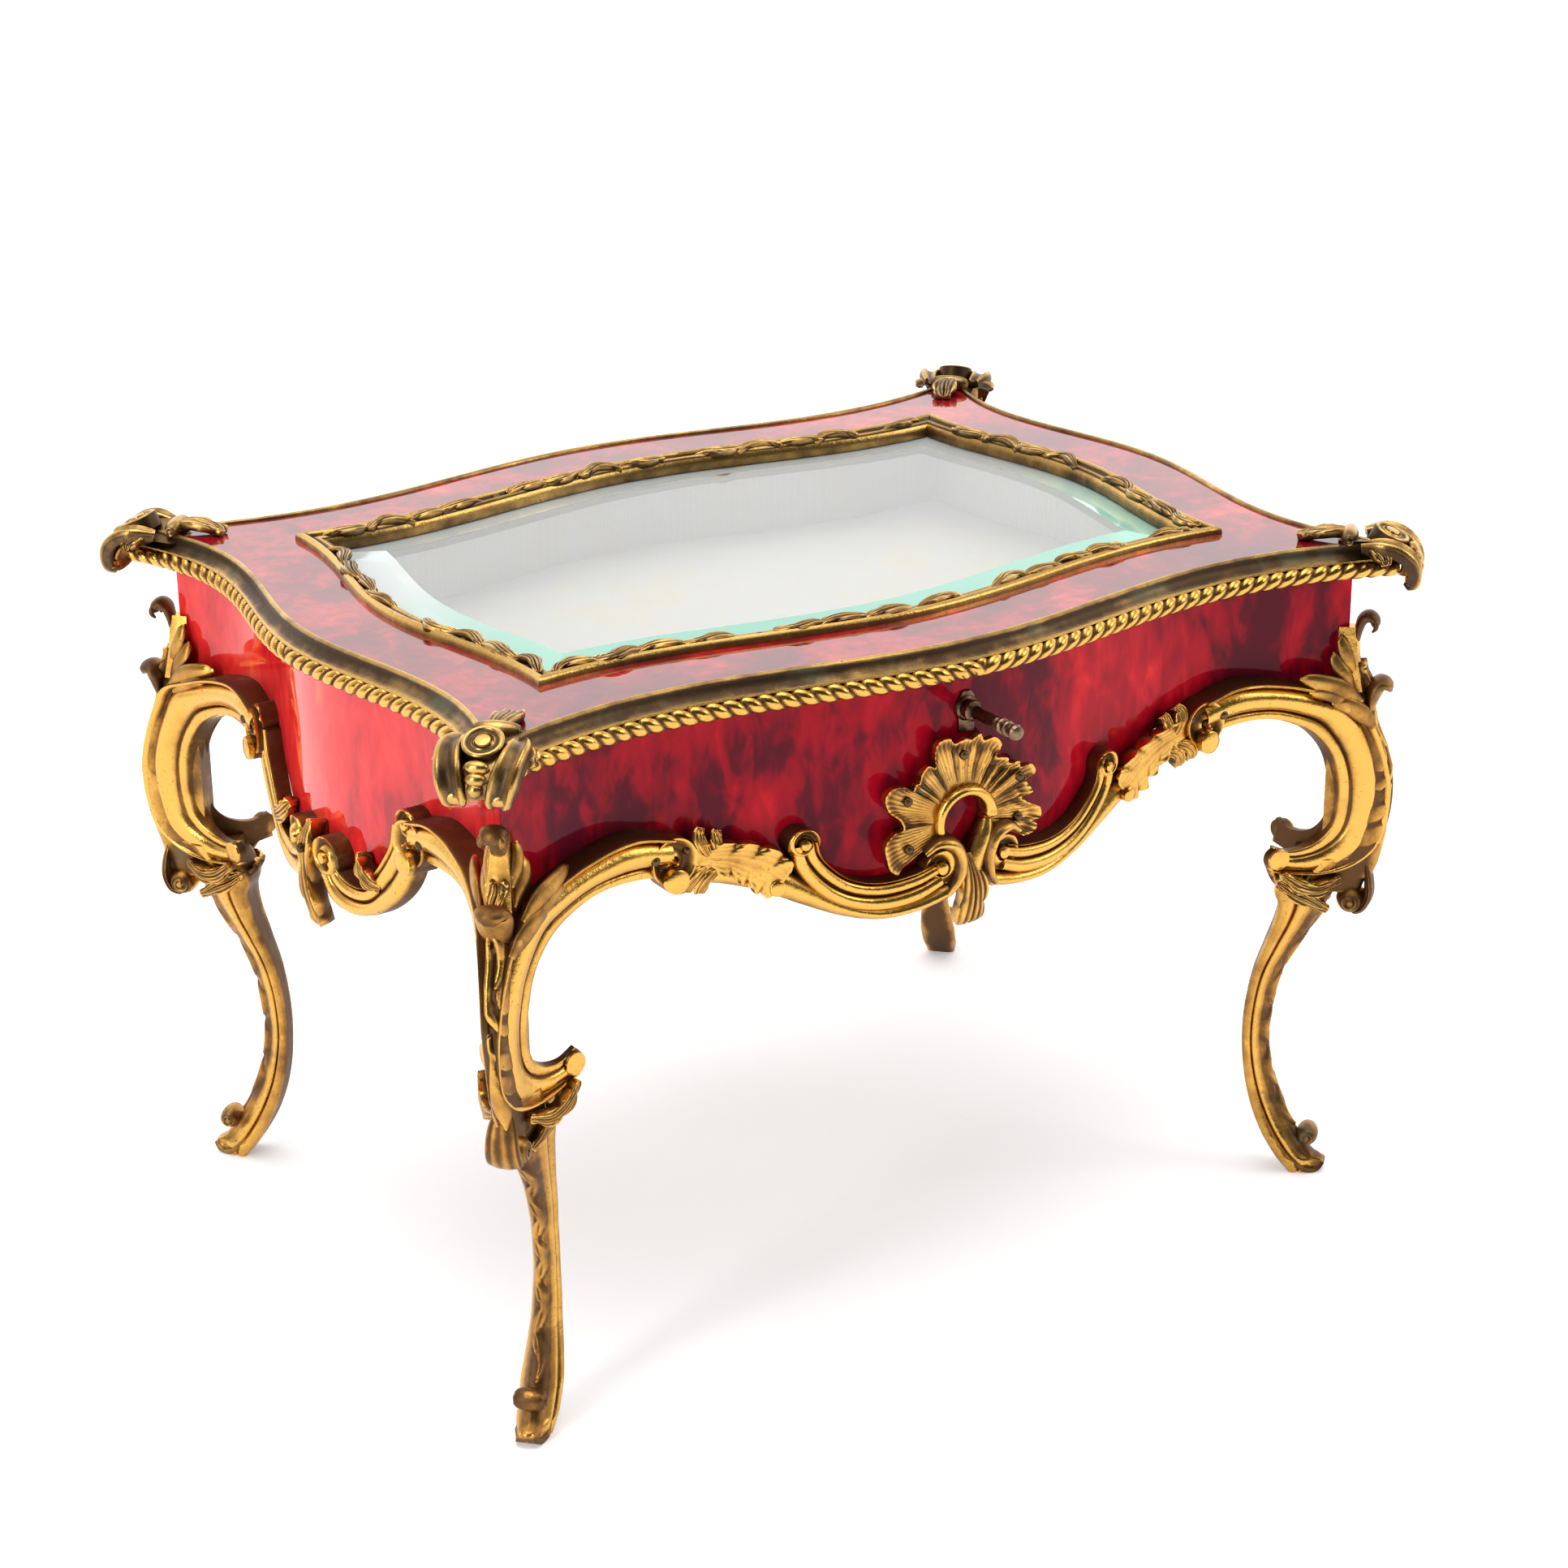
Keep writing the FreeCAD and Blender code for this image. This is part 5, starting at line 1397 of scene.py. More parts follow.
    def knot(self, cast: Casting) -> None:
        """Scroll under the C-scrolls, with a fluted leaf over it and plain leaves inside it.

        Args:
            cast: Casting that takes it.
        """
        roll(cast, on_corner(4.6, 85.6), OVER, radius=4.0, half=4.9, waist=0.6, turns=1.6, tone=0.7)
        corner_bulb(cast, self.apron_leaf, 0.55, flutes=9)
        leaf(cast, over_corner(self.inside_leaf), OVER, 3.8, UP - OUT, lobes=2, thick=1.8)
        for sign in (-1, 1):
            leaf(cast, over_corner(to_side(self.side_leaf, sign)), UP, 2.6, OVER * sign, lobes=2, thick=2.0)

    def toe(self, cast: Casting) -> None:
        """Scroll above the toe and the upturned tip."""
        roll(cast, on_corner(-3.6, 11.2), OVER, radius=3.0, half=3.9, waist=0.5, turns=1.4, tone=0.4)
        strap(cast, over_corner(self.tip), OVER, 4.9, OUT + UP, self.tip_section, 2.2, self.tip_shape, tone=0.45)

    def build(self) -> None:
        """Builds the four legs."""
        cast = Casting()
        self.wing(cast, True)
        self.wing(cast, False)
        for step in (self.spine, self.shin, self.knot, self.toe):
            step(cast)
        mirror_four(cast, "leg", GILT, Body.CASE)


@dataclass
class Chute:
    """Stem that climbs each corner of the case, with leaves at its foot and a head that curls out."""

    stem: Points = ((147, 5.6), (151, 4.6), (156, 3.4), (162, 2.8), (164.6, 2.6))
    wide: Points = ((147, 3.9), (153, 3.4), (159, 2.7), (164.6, 1.8))
    ring: Points = (
        (-2.6, 1), (0.3, 0.98), (0.8, 0.86), (0.96, 0.55), (1, 0), (0.96, -0.55), (0.8, -0.86), (0.3, -0.98),
        (-2.6, -1))
    # Leaves beside the stem: line as place along, height and distance out, and half the width
    petals: Table = (
        (((1, 147.6, 4.4), (3.2, 151.2, 4.2), (4.8, 154.6, 3.4), (5.4, 158.2, 2.2)), 2.3),
        (((0.6, 152.6, 3.8), (2.2, 156, 3.6), (3.2, 159.2, 3), (3.6, 162.6, 2)), 1.9))
    foot_leaf: Points = ((7, 146.5), (6.4, 149), (5, 152), (4.6, 154.6))
    # The head and the curl on each side of it: path, knots of half the width and of half the depth
    head: Shape = (
        ((2.2, 160.5), (2.6, 164), (3.6, 166.8), (5.2, 167.6), (6.6, 166.6), (6.8, 164.8)),
        ((0, 1.8), (0.35, 2.6), (0.65, 3.2), (0.9, 2.8), (1, 0.6)),
        ((0, 0.8), (0.35, 1.3), (0.65, 1.6), (0.9, 1.4), (1, 0.4)))
    curl: Shape = (
        ((5.6, 167.4, 1), (6.8, 166.6, 2.2), (7, 165, 2.6), (6.2, 163.8, 2.2)), ((0, 0.4), (0.5, 1), (1, 0.4)),
        ((0, 0.3), (0.5, 0.8), (1, 0.3)))

    def build(self) -> None:
        """Builds the four chutes."""
        cast = Casting()
        z = np.linspace(self.stem[0][0], self.stem[-1][0], 30)[:, None]
        ring = np.asarray(self.ring)
        d = np.where(ring[:, 0] > 0, ring[:, 0] * graded(self.stem, z[:, 0])[:, None], ring[:, 0])
        w = ring[:, 1] * graded(self.wide, z[:, 0])[:, None]
        cast.tube(PLAN.diagonal(d, z * np.ones_like(d), w), 0.62)
        for back in (True, False):
            place = wing_place(back)
            normal, along = (on_wall(place, p) - on_wall(place, (0, 150, 0)) for p in ((0, 150, 9), (9, 150, 0)))
            for path, half in self.petals:
                petal(cast, over_wall(place, path), along, normal, half)
        leaf(cast, over_corner(self.foot_leaf), OVER, 3.0, OUT, lobes=1, thick=2.0, tone=0.35)
        corner_bulb(cast, self.head, 0.26)
        path, wide, deep = self.curl
        for sign in (-1, 1):
            corner_bulb(cast, (to_side(path, sign), wide, deep), 0.3)
        mirror_four(cast, "chute", GILT, Body.CASE)


DOUBLE: Points = (
    (-1, 0.5, 0.1), (-0.95, 0.72, 0.5), (-0.8, 0.88, 0.85), (-0.5, 0.95, 1), (-0.2, 0.88, 0.85), (-0.08, 0.72, 0.4),
    (-0.02, 0.64, 0.1), (0.05, 0.74, 0.5), (0.2, 0.88, 0.9), (0.45, 0.92, 0.95), (0.66, 0.84, 0.8), (0.76, 0.66, 0.1),
    (0.82, 0.74, 0.6), (0.9, 0.86, 0.9), (0.96, 0.8, 0.3), (1, 0.55, 0))
ROUND: Points = (
    (-1, 0.4, 0.1), (-0.92, 0.64, 0.5), (-0.6, 0.9, 0.85), (-0.2, 1, 1), (0.3, 0.92, 0.9), (0.7, 0.74, 0.75),
    (1, 0.55, 0.2))


@dataclass
class LongApron:
    """Half of a front or back apron: a C-scroll, a rim, a ruffled leaf and a tuft beside the leg."""

    proud: float = 5.4
    scroll_low: Points = ((9, 124.6), (16, 122), (26, 121.4), (36, 124.2), (43.5, 129.7), (48.4, 136.5), (50.2, 142.5))
    scroll_high: Points = ((11, 131.6), (17, 130), (26, 129.4), (33.5, 131.4), (38.6, 135.2), (42, 139.5), (42.8, 143))
    rim_low: Points = (
        (7, 120.4), (16, 118.7), (26, 118.6), (36, 121.4), (46, 126.1), (56, 131.3), (66, 135.3), (75, 137.6))
    rim_high: Points = (
        (7, 124.6), (16, 122.6), (26, 122.6), (36, 126.4), (46, 133.4), (56, 139), (66, 141.6), (75, 142.6))
    # Eyes of the scroll: middle, radius, height as a share of proud, turns and hand of the spiral
    eyes: Table = (((46.5, 143), 4.1, 1.04, 1.3, 1), ((9.4, 129.8), 5, 0.96, 0.8, -1))
    eye_share: float = 0.34
    # Strap that curls round the lower eye, its centre, section and width
    curl: Points = (
        (14.4, 134.6, 5.2), (11, 136.8, 6), (6.6, 135.6, 6.4), (4.4, 131.2, 6.4), (4.8, 126.2, 6), (7.4, 121.8, 4.6))
    curl_centre: Row = (9.2, 129.4, 5.8)
    crest: Points = ((-1, -0.8), (-0.6, 0.3), (0, 0.8), (0.6, 0.3), (1, -0.8))
    curl_shape: Points = ((0, 0.5), (0.3, 1), (0.7, 0.95), (1, 0.4))
    ruffle: Points = ((78, 144.4, 4.6), (72, 144.2, 5), (64, 142.2, 5.4), (57.5, 138.6, 5.6), (52.6, 134.2, 5.4))
    ruffle_shape: Points = ((0, 0.55), (0.15, 0.66), (0.35, 0.7), (0.65, 0.92), (0.85, 1), (0.96, 0.85), (1, 0.6))
    tufts: Table = (
        (((71.5, 144, 4.8), (73, 147.4, 5), (73.6, 150.2, 4.4), (72.8, 152, 3.4)), 2.1),
        (((68, 144.5, 4.8), (68.8, 147, 4.8), (69, 149, 4), (68.4, 150.4, 3.2)), 1.9),
        (((72, 142, 5), (75.4, 141, 5.6), (77.2, 138.8, 5.4), (77.4, 136.2, 4.4)), 2.3),
        (((69, 140.5, 5), (72, 139.4, 5.4), (73.6, 137.2, 5), (73.6, 135, 4)), 2.1))

    def half(self) -> Casting:
        """The back right half.

        Returns:
            Its casting.
        """
        cast = Casting()
        place = place_on(Side.BACK)
        normal = (0.0, 1.0, 0.0)
        tall = ((0, self.proud), (1, self.proud))
        moulded_band(cast, place, self.rim_low, self.rim_high, ((0, 4.6), (1, 4.4)), ROUND, 90, 17)
        moulded_band(cast, place, self.scroll_low, self.scroll_high, tall, DOUBLE, 80, 29)
        for centre, radius, share, turns, hand in self.eyes:
            roundel(cast, place, centre, radius, self.proud * share, turns, hand, self.eye_share)
        curl = over_wall(place, self.curl)
        strap(cast, curl, curl - on_wall(place, self.curl_centre), 1.7, normal, self.crest, 4.6, self.curl_shape,
              tone=0.6)
        leaf(cast, over_wall(place, self.ruffle), UP, 6.2, normal, lobes=5, crown=0.10, rib=0.012, veins=4.0,
             notch=0.20, thick=4.0, slant=0.1, sway=0.0, tone=0.66, shape=self.ruffle_shape)
        roundel(cast, place, (54.2, 133.2), radius=2.2, proud=6.2, turns=1.0, hand=1, eye=1.0, sides=24)
        for path, half in self.tufts:
            leaf(cast, over_wall(place, path), (1.0, 0.0, 0.4), half, normal, lobes=1, crown=0.5, thick=4.0, notch=0.1)
        return cast

    def build(self) -> None:
        """Builds both halves of the front and the back apron."""
        mirror_four(self.half(), "apron", GILT, Body.CASE)


@dataclass
class SideApron:
    """Left or right apron: two C-scrolls that meet at a boss with a pendant leaf."""

    proud: float = 5.4
    low: Points = (
        (46.6, 149), (45.2, 140), (40.8, 131.5), (34, 124.6), (26, 119.6), (17, 117.3), (9, 118.6), (4.5, 123))
    high: Points = (
        (37, 148), (35.6, 142.4), (32.4, 137.4), (28.4, 132.2), (24.4, 127.2), (18, 126.2), (13.4, 127.8),
        (11.4, 131.5))
    # Eyes of the scroll: middle, radius, height as a share of proud, turns and hand of the spiral, and eye
    eyes: Table = (((43.2, 149.6), 4.2, 1.05, 1.3, 1, 0.32), ((8.4, 130.2), 5.6, 1.12, 1.7, -1, 0.3))
    inner_leaf: Points = ((31, 128.6, 4.6), (27, 129.6, 4.8), (22.6, 131.6, 4.2), (20, 134.6, 3))
    outer_leaf: Points = ((44, 139, 4.6), (47.5, 142.6, 4.2), (49.2, 147, 3.2))
    pendant: Points = ((0, 138, 4.4), (0, 131, 6), (0, 123, 6.4), (0, 115, 5.6), (0, 108, 3.8))
    pendant_shape: Points = ((0, 0.4), (0.15, 0.9), (0.4, 0.75), (0.65, 0.95), (0.85, 0.7), (1, 0.3))

    def build(self) -> None:
        """Builds both side aprons."""
        cast, half = Casting(), Casting()
        place = place_on(Side.RIGHT)
        normal, along = (1.0, 0.0, 0.0), (0.0, 1.0, 0.0)
        moulded_band(half, place, self.low, self.high, ((0, self.proud), (1, self.proud)), DOUBLE, 90, 29)
        for centre, radius, share, turns, hand, eye in self.eyes:
            roundel(half, place, centre, radius, self.proud * share, turns, hand, eye)
        leaf(half, over_wall(place, self.inner_leaf), UP, 2.9, normal, thick=3.6)
        leaf(half, over_wall(place, self.outer_leaf), along, 2.6, normal, lobes=2, thick=3.6)
        cast.take(half).take(half, mirror_y=True)
        leaf(cast, over_wall(place, self.pendant), along, 4.2, normal, lobes=3, veins=1.8, thick=4.4,
             shape=self.pendant_shape)
        for side in (Side.RIGHT, Side.LEFT):
            name = f"apron_{side.value}"
            cast.mirrored(side is Side.LEFT).hand_in(f"{name}_cast", GILT, Body.CASE, name)


@dataclass
class Cartouche:
    """Shell of ribbed lobes round an open ring, with a pendant leaf."""

    height: float = 141.5
    aside: float = 2.5
    ring: Row = (6.6, 6.8)
    bead: float = 1.5
    bead_ends: Row = (-8, 206)
    # The shell's edge seen from outside: place to the right, height, and 1 on a lobe's ridge or 0 in a notch
    edge: Points = (
        (-19.5, -11, 0.2), (-21.6, -9.4, 0.6), (-22.8, -6.4, 0.9), (-23.3, -2.3, 1), (-20.8, 0.4, 0.8),
        (-17.8, 0.7, 0), (-18.9, 3.5, 0.4), (-22.5, 6.9, 0.9), (-23.3, 10.7, 1), (-21.3, 12.6, 1), (-17.5, 12.2, 0.6),
        (-15.3, 10.6, 0), (-14.9, 12.6, 0.8), (-13.4, 12.4, 0), (-13.3, 15.1, 0.8), (-11.7, 16.9, 1), (-9, 15.6, 0),
        (-9.6, 18.9, 0.6), (-9, 22.4, 1), (-5.7, 23, 1), (-3.6, 21, 0.1), (-0.8, 22, 0.9), (1.3, 21.2, 0.4),
        (3.3, 22.5, 1), (5.4, 20, 0.1), (7.9, 20.6, 1), (10.2, 18, 0.8), (9.2, 14.8, 0), (12.1, 14.1, 1),
        (13.4, 12, 0.1), (15.9, 12.2, 1), (17.2, 10, 0.1), (20.1, 10.4, 1), (21.6, 7.7, 0.8), (19.2, 6, 0),
        (20.7, 2.8, 1), (17.8, 1.7, 0), (20.2, -0.4, 0.7), (23.4, -2.3, 1), (23.6, -4.9, 1), (21.3, -5.6, 0.3),
        (22.6, -6.8, 0.9), (21.4, -8.4, 0.7), (18.6, -9, 0.2))
    flute: float = 1.5
    plate: float = 1.8
    smooth: Points = ((-1, -0.6), (-0.6, 0.4), (0, 0.9), (0.6, 0.4), (1, -0.6))
    hoop_steps: int = 90
    stalk: Points = ((-4.6, 140, 4.2), (-3.8, 136, 4.8), (-1.8, 132.4, 5.2), (0.2, 128, 5.4))
    stalk_shape: Points = ((0, 0.45), (0.4, 1), (1, 0.9))
    pendant: Points = ((1.6, 132.5, 4.6), (1.5, 126, 5.7), (1.2, 120, 5.9), (0.8, 115.6, 4.9), (0.6, 112.4, 3))
    pendant_shape: Points = ((0, 0.45), (0.3, 0.8), (0.7, 1), (0.92, 0.9), (1, 0.6))

    def round_ring(self, a: Array, more: float = 0.0) -> Array:
        """Radius of the oval ring at those angles, and a little more."""
        return 1 / np.hypot(np.cos(a) / (self.ring[0] + more), np.sin(a) / (self.ring[1] + more))

    def over(self, right: Array, up: Array, out: Array) -> Array:
        """Points over the long wall from their place to the right of the ring, seen from outside, and above it."""
        return place_on(Side.BACK)(self.aside - np.asarray(right), self.height + np.asarray(up), out)

    def fan(self, cast: Casting) -> None:
        """Ribbed shell round the ring: each rib runs from the ring to its lobe's edge, which is turned out.

        Args:
            cast: Casting that takes it.
        """
        run = smooth_run(self.edge, 800)
        rim, ridge = run[:, None, :2], np.clip(run[:, 2:], 0, 1)
        a = np.arctan2(rim[..., 1], rim[..., 0])
        size = self.round_ring(a)
        hole = np.stack([size * np.cos(a), size * np.sin(a)], -1)
        q = np.linspace(0, 1, 34)[None]
        flat = hole + (rim - hole) * q[..., None]
        far = np.linalg.norm(rim - hole, axis=-1)
        step = run_length(run[:, :2])[:, None]
        fine = np.cos(2 * np.pi * step / self.flute)
        slope = graded(((0, 3.2), (0.2, 3.6), (0.5, 3.4), (0.8, 3.9), (0.93, 4.7), (1, 4.4)), q[0])
        fade = np.clip((q - 0.12) / 0.4, 0, 1)
        lip = np.exp(-((1 - q) * far / 0.7) ** 2)
        dish = np.exp(-((1 - q) * far - 2.4) ** 2 / 2.0)
        out = slope + fade * (1.1 * (ridge - 0.6) + 0.06 * fine) + 0.75 * lip - 0.35 * dish
        tone = 0.62 + fade * (0.2 * (ridge - 0.5) + 0.05 * fine) - 0.22 * fade * (1 - ridge) ** 2 + 0.38 * lip
        rear = (out - self.plate) * np.clip(2 * q - 1, 0, 1)
        cast.shell(self.over(flat[..., 0], flat[..., 1], out), self.over(flat[..., 0], flat[..., 1], rear),
                   tone - 0.2 * dish)

    def hoop(self, cast: Casting) -> None:
        """Polished bead round the opening, thicker where it curls at the right.

        Args:
            cast: Casting that takes it.
        """
        n = self.hoop_steps
        a, b = np.radians(np.linspace(*self.bead_ends, n)), around(20)
        size = self.bead * np.sqrt(np.clip(np.sin(np.linspace(0.02, np.pi - 0.02, n)) * 6, 0.02, 1))
        size = size * graded(((0, 1.5), (0.1, 1.25), (0.4, 1), (1, 0.75)), np.linspace(0, 1, n))
        r = self.round_ring(a, 0.9)[:, None] + size[:, None] * np.cos(b)
        out = 3.9 + 1.4 * size[:, None] * np.sin(b)
        # The outer half of the bead is brighter and the half toward the wall darker: painted shade.
        tone = 0.55 + 0.45 * np.sin(b) * np.ones((n, 1))
        cast.tube(self.over(r * np.cos(a)[:, None], r * np.sin(a)[:, None], out), tone)

    def build(self) -> None:
        """Builds the front and the back cartouche."""
        cast = Casting()
        place, normal, along = place_on(Side.BACK), (0, 1, 0), (1, 0, 0)
        self.fan(cast)
        self.hoop(cast)
        strap(cast, over_wall(place, self.stalk), along, 2.9, normal, self.smooth, 4.6, self.stalk_shape)
        leaf(cast, over_wall(place, self.pendant), along, 4.5, normal, lobes=2, rib=0.07, veins=2.2, thick=4.2,
             notch=0.14, slant=0.1, tone=0.4, shape=self.pendant_shape)
        for side in (Side.FRONT, Side.BACK):
            name, flip = f"cartouche_{side.value}", side is Side.FRONT
            cast.mirrored(flip, flip).hand_in(f"{name}_cast", GILT, Body.CASE, name)


@dataclass
class Pins:
    """Round-headed pins that hold the castings and the glass frame."""

    head: Points = ((-1, 1.05), (0, 1.3), (0.35, 1.25), (0.7, 1), (0.92, 0.55), (1, 0.08))
    long_side: Points = (
        (19.2, 149.6, 4.5), (18.8, 136.7, 4.5), (-14.2, 138.1, 4.3), (-14.6, 149, 4.2), (3.2, 158.9, 4.4))
    arm: Row = (41.5, 147.4, 6.6)
    chute: Row = (4.5, 153.5, 1.6)
    tuft: Row = (77.2, 147.6, 5)
    short_side: Row = (0, 130.5, 7.6)
    glass_inset: float = 23.4
    glass_height: float = 188.7
    glass_long: float = 42.5
    glass_short: float = 31.0

    def drive(self, cast: Casting, foot: Array, way: Row) -> None:
        """One pin with its head on that point."""
        turned(cast, foot, way, self.head, 16, 0.6)

    def on_case(self) -> Casting:
        """Pins of the legs, the chutes, the aprons and the cartouches.

        Returns:
            Their casting.
        """
        quarter, half, rest = Casting(), Casting(), Casting()
        back, right = (0, 1, 0), (1, 0, 0)
        long_side, short_side = place_on(Side.BACK), place_on(Side.RIGHT)
        for long, way in ((True, back), (False, right)):
            self.drive(quarter, on_wall(wing_place(long), self.arm), way)
        self.drive(quarter, on_corner(*self.chute), OUT)
        self.drive(quarter, on_wall(long_side, self.tuft), back)
        for corner in Corner:
            rest.take(quarter, *corner.flips)
        for spot in self.long_side:
            self.drive(half, on_wall(long_side, spot), back)
        self.drive(half, on_wall(short_side, self.short_side), right)
        return rest.take(half).take(half, True, True)

    def on_lid(self) -> Casting:
        """Pins of the glass frame, two on each side.

        Returns:
            Their casting.
        """
        top = Casting()
        corner = PLAN.corner(self.glass_inset)
        for side in Side:
            reach, end = (self.glass_long, corner[0]) if side.lengthwise else (self.glass_short, corner[1])
            for sign in (-1, 1):
                x, y = PLAN.edge(side, self.glass_inset, np.array([sign * reach / end]))[0]
                self.drive(top, np.array([x, y, self.glass_height]), UP)
        return top

    def build(self) -> None:
        """Builds the pins of the case and of the lid."""
        self.on_case().hand_in("mount_pins_cast", PIN_BRONZE, Body.CASE, "mount_pins")
        self.on_lid().hand_in("lid_pins_cast", PIN_BRONZE, Body.LID, "lid_pins")


# The lid


def rim_sweep(cast: Casting, side: Side, profile: Points, past: float = NO_END, steps: int = 121,
              tone: Array | float = 0.7) -> None:
    """Profile swept along one side of the plan.

    Args:
        cast, side: Casting that takes it, and the side.
        profile: Closed outline of inset from the plan's edge and height.
        past: How far it may run past the plan's corner before it is clipped.
        steps, tone: Points along, and tone of each point of the profile.
    """
    share = np.linspace(-1, 1, steps)
    lines = [np.c_[PLAN.edge(side, inset, share, past), np.full(steps, z)] for inset, z in profile]
    rings = np.stack(lines, 1)
    cast.tube(rings, np.broadcast_to(np.asarray(tone, float), rings.shape[:2]))


@dataclass
class LidEdge:
    """Edge of the lid on each side: a hollow moulding over a rope."""

    clip: float = 11.5
    profile: Points = (
        (0, 187.6), (-0.2, 188.5), (-0.6, 188.8), (-1.2, 188.8), (-1.7, 188.4), (-1.8, 187.7), (-2, 187),
        (-2.5, 186.2), (-3.3, 185.5), (-4.3, 185.1), (-4.9, 184.95), (-5, 184.5), (-4.4, 184.1), (-3.4, 182.6),
        (-2.8, 180.6), (-0.4, 180))
    # Tone of each point of the profile: grooves darker and the lip brighter with the relief, and the underside behind
    # the rope dark as painted shade.
    worn: Row = (0.3, 0.45, 0.6, 0.6, 0.5, 0.12, 0.35, 0.48, 0.5, 0.6, 0.95, 0.7, 0.3, 0.2, 0.2, 0.2)
    rope_inset: float = -4.3
    rope_height: float = 182.2
    rope_radius: float = 2.45
    pitch: float = 4.5
    starts: int = 2
    rope_step: float = 0.42

    def rope(self, side: Side) -> Casting:
        """Rope of rounded slanting lobes that run out from the middle of the side.

        Args:
            side: Which side.

        Returns:
            Its casting.
        """
        cast = Casting()
        line = PLAN.edge(side, self.rope_inset, np.linspace(-1, 1, 900), self.clip)
        step = run_length(line)
        s = np.linspace(0, step[-1], int(step[-1] / self.rope_step))
        x, y = np.interp(s, step, line[:, 0]), np.interp(s, step, line[:, 1])
        way = unit(np.c_[np.gradient(x), np.gradient(y), np.zeros_like(x)])
        out = np.cross(way, UP)
        out = out * np.sign((out[:, :2] * np.c_[x, y]).sum(1))[:, None]
        a = around(22)
        from_middle = np.abs(s - step[-1] / 2)[:, None]
        lobe = scallop(from_middle / self.pitch - self.starts * a / (2 * np.pi), 0.5)
        radius = self.rope_radius * (0.6 + 0.4 * lobe)
        middle = np.c_[x, y, np.full_like(x, self.rope_height)]
        rings = middle[:, None] + radius[..., None] * (np.cos(a)[:, None] * out[:, None] + np.sin(a)[:, None] * UP)
        cast.tube(rings, 0.1 + 0.9 * lobe ** 1.5)
        return cast

    def build(self) -> None:
        """Builds the four edges."""
        for side in Side:
            hollow = Casting()
            rim_sweep(hollow, side, self.profile, self.clip, tone=self.worn)
            name = f"lid_moulding_{side.value}"
            hollow.hand_in(f"{name}_hollow", LID_BRONZE, Body.LID, name)
            self.rope(side).hand_in(f"{name}_rope", ROPE_GILT, Body.LID, name)


@dataclass
class LidMount:
    """Corner scroll of the lid: a tail leaf, a collar, an oval eye and two drooping lobes."""

    eye: float = 5.0
    channel: Points = (
        (-1, -0.7), (-0.86, 0.7), (-0.66, 1.2), (-0.44, 0.6), (0, 0.05), (0.44, 0.6), (0.66, 1.2), (0.86, 0.7),
        (1, -0.7))
    lean: float = 0.45
    eye_at: Row = (9, 189.9)
    tail: Points = ((1, 190.2), (-4.5, 190.9), (-9.5, 190.4), (-15, 189.1))
    body: Points = ((-2, 188.4), (4, 188.8), (10, 188), (13.6, 185.4), (14.8, 182), (14.2, 179.8))
    lobe: Points = (
        (2.5, 189.4, 6.6), (7, 190.2, 7.7), (11.4, 189.5, 7.7), (15.2, 186.8, 6.9), (17, 182.9, 5.9),
        (16.6, 179.4, 5.1), (14.8, 178, 4.6))
    lobe_shape: Points = ((0, 0.5), (0.25, 0.9), (0.7, 1), (0.9, 0.9), (1, 0.55))
    lobe_end: Row = (15.6, 180.2, 5.2)
    side_leaf: Points = ((3, 189, 7), (6, 188.6, 9.2), (8, 187.6, 10.8), (8.8, 185.8, 11.8))
    # Drops between the lobes: distance out, height and half the length
    drops: Points = ((15.2, 187.2, 2.7), (16.4, 184.8, 2.3), (16.9, 182.5, 1.8))

    def tilted(self, along: Array, height: Array, out: Array) -> Array:
        """Map for the eye: a plane on top of the scroll that leans outward.

        Args:
            along, height, out: Places across the corner and up the plane, and distances from it.

        Returns:
            The points.
        """
        normal = unit(OUT * self.lean + UP)
        rise = np.cross(normal, OVER)
        rise = rise * np.sign(rise @ UP)
        flat = on_corner(*self.eye_at) + np.asarray(along)[..., None] * OVER + np.asarray(height)[..., None] * rise
        return flat + np.asarray(out)[..., None] * normal

    def build(self) -> None:
        """Builds the four corner scrolls."""
        cast = Casting()
        leaf(cast, over_corner(self.tail), OVER, 3.8, UP, lobes=2, thick=1.6)
        roll(cast, on_corner(-1.4, 189.8), OVER, radius=2.4, half=5.4, waist=0.6, tone=0.7)
        path = smooth_run(self.body, 40)
        a = around(24)
        d, z = path[:, :1] + 2.3 * np.cos(a), path[:, 1:] + 1.6 * np.sin(a)
        cast.tube(PLAN.diagonal(d, z, np.broadcast_to(6.6 * np.sin(a), d.shape)), 0.5)
        for sign in (-1, 1):
            strap(cast, over_corner(to_side(self.lobe, sign)), OVER, 3.6, OUT + UP, self.channel, 2.4,
                  self.lobe_shape, 70, 0.7)
            roll(cast, over_corner(to_side((self.lobe_end,), sign))[0], OVER, radius=1.9, half=3.0, waist=0.85)
            leaf(cast, over_corner(to_side(self.side_leaf, sign)), OUT, 2.2, UP, lobes=2, rib=0.08, thick=1.8)
        for d, z, half in self.drops:
            roll(cast, on_corner(d, z), OVER, radius=1.7, half=half, waist=0.75, tone=0.85)
        roundel(cast, self.tilted, (0.0, 0.0), self.eye, proud=2.2, turns=2.3, hand=0, eye=0.4, rear=-2.2)
        mirror_four(cast, "lid_mount", LID_BRONZE, Body.LID)


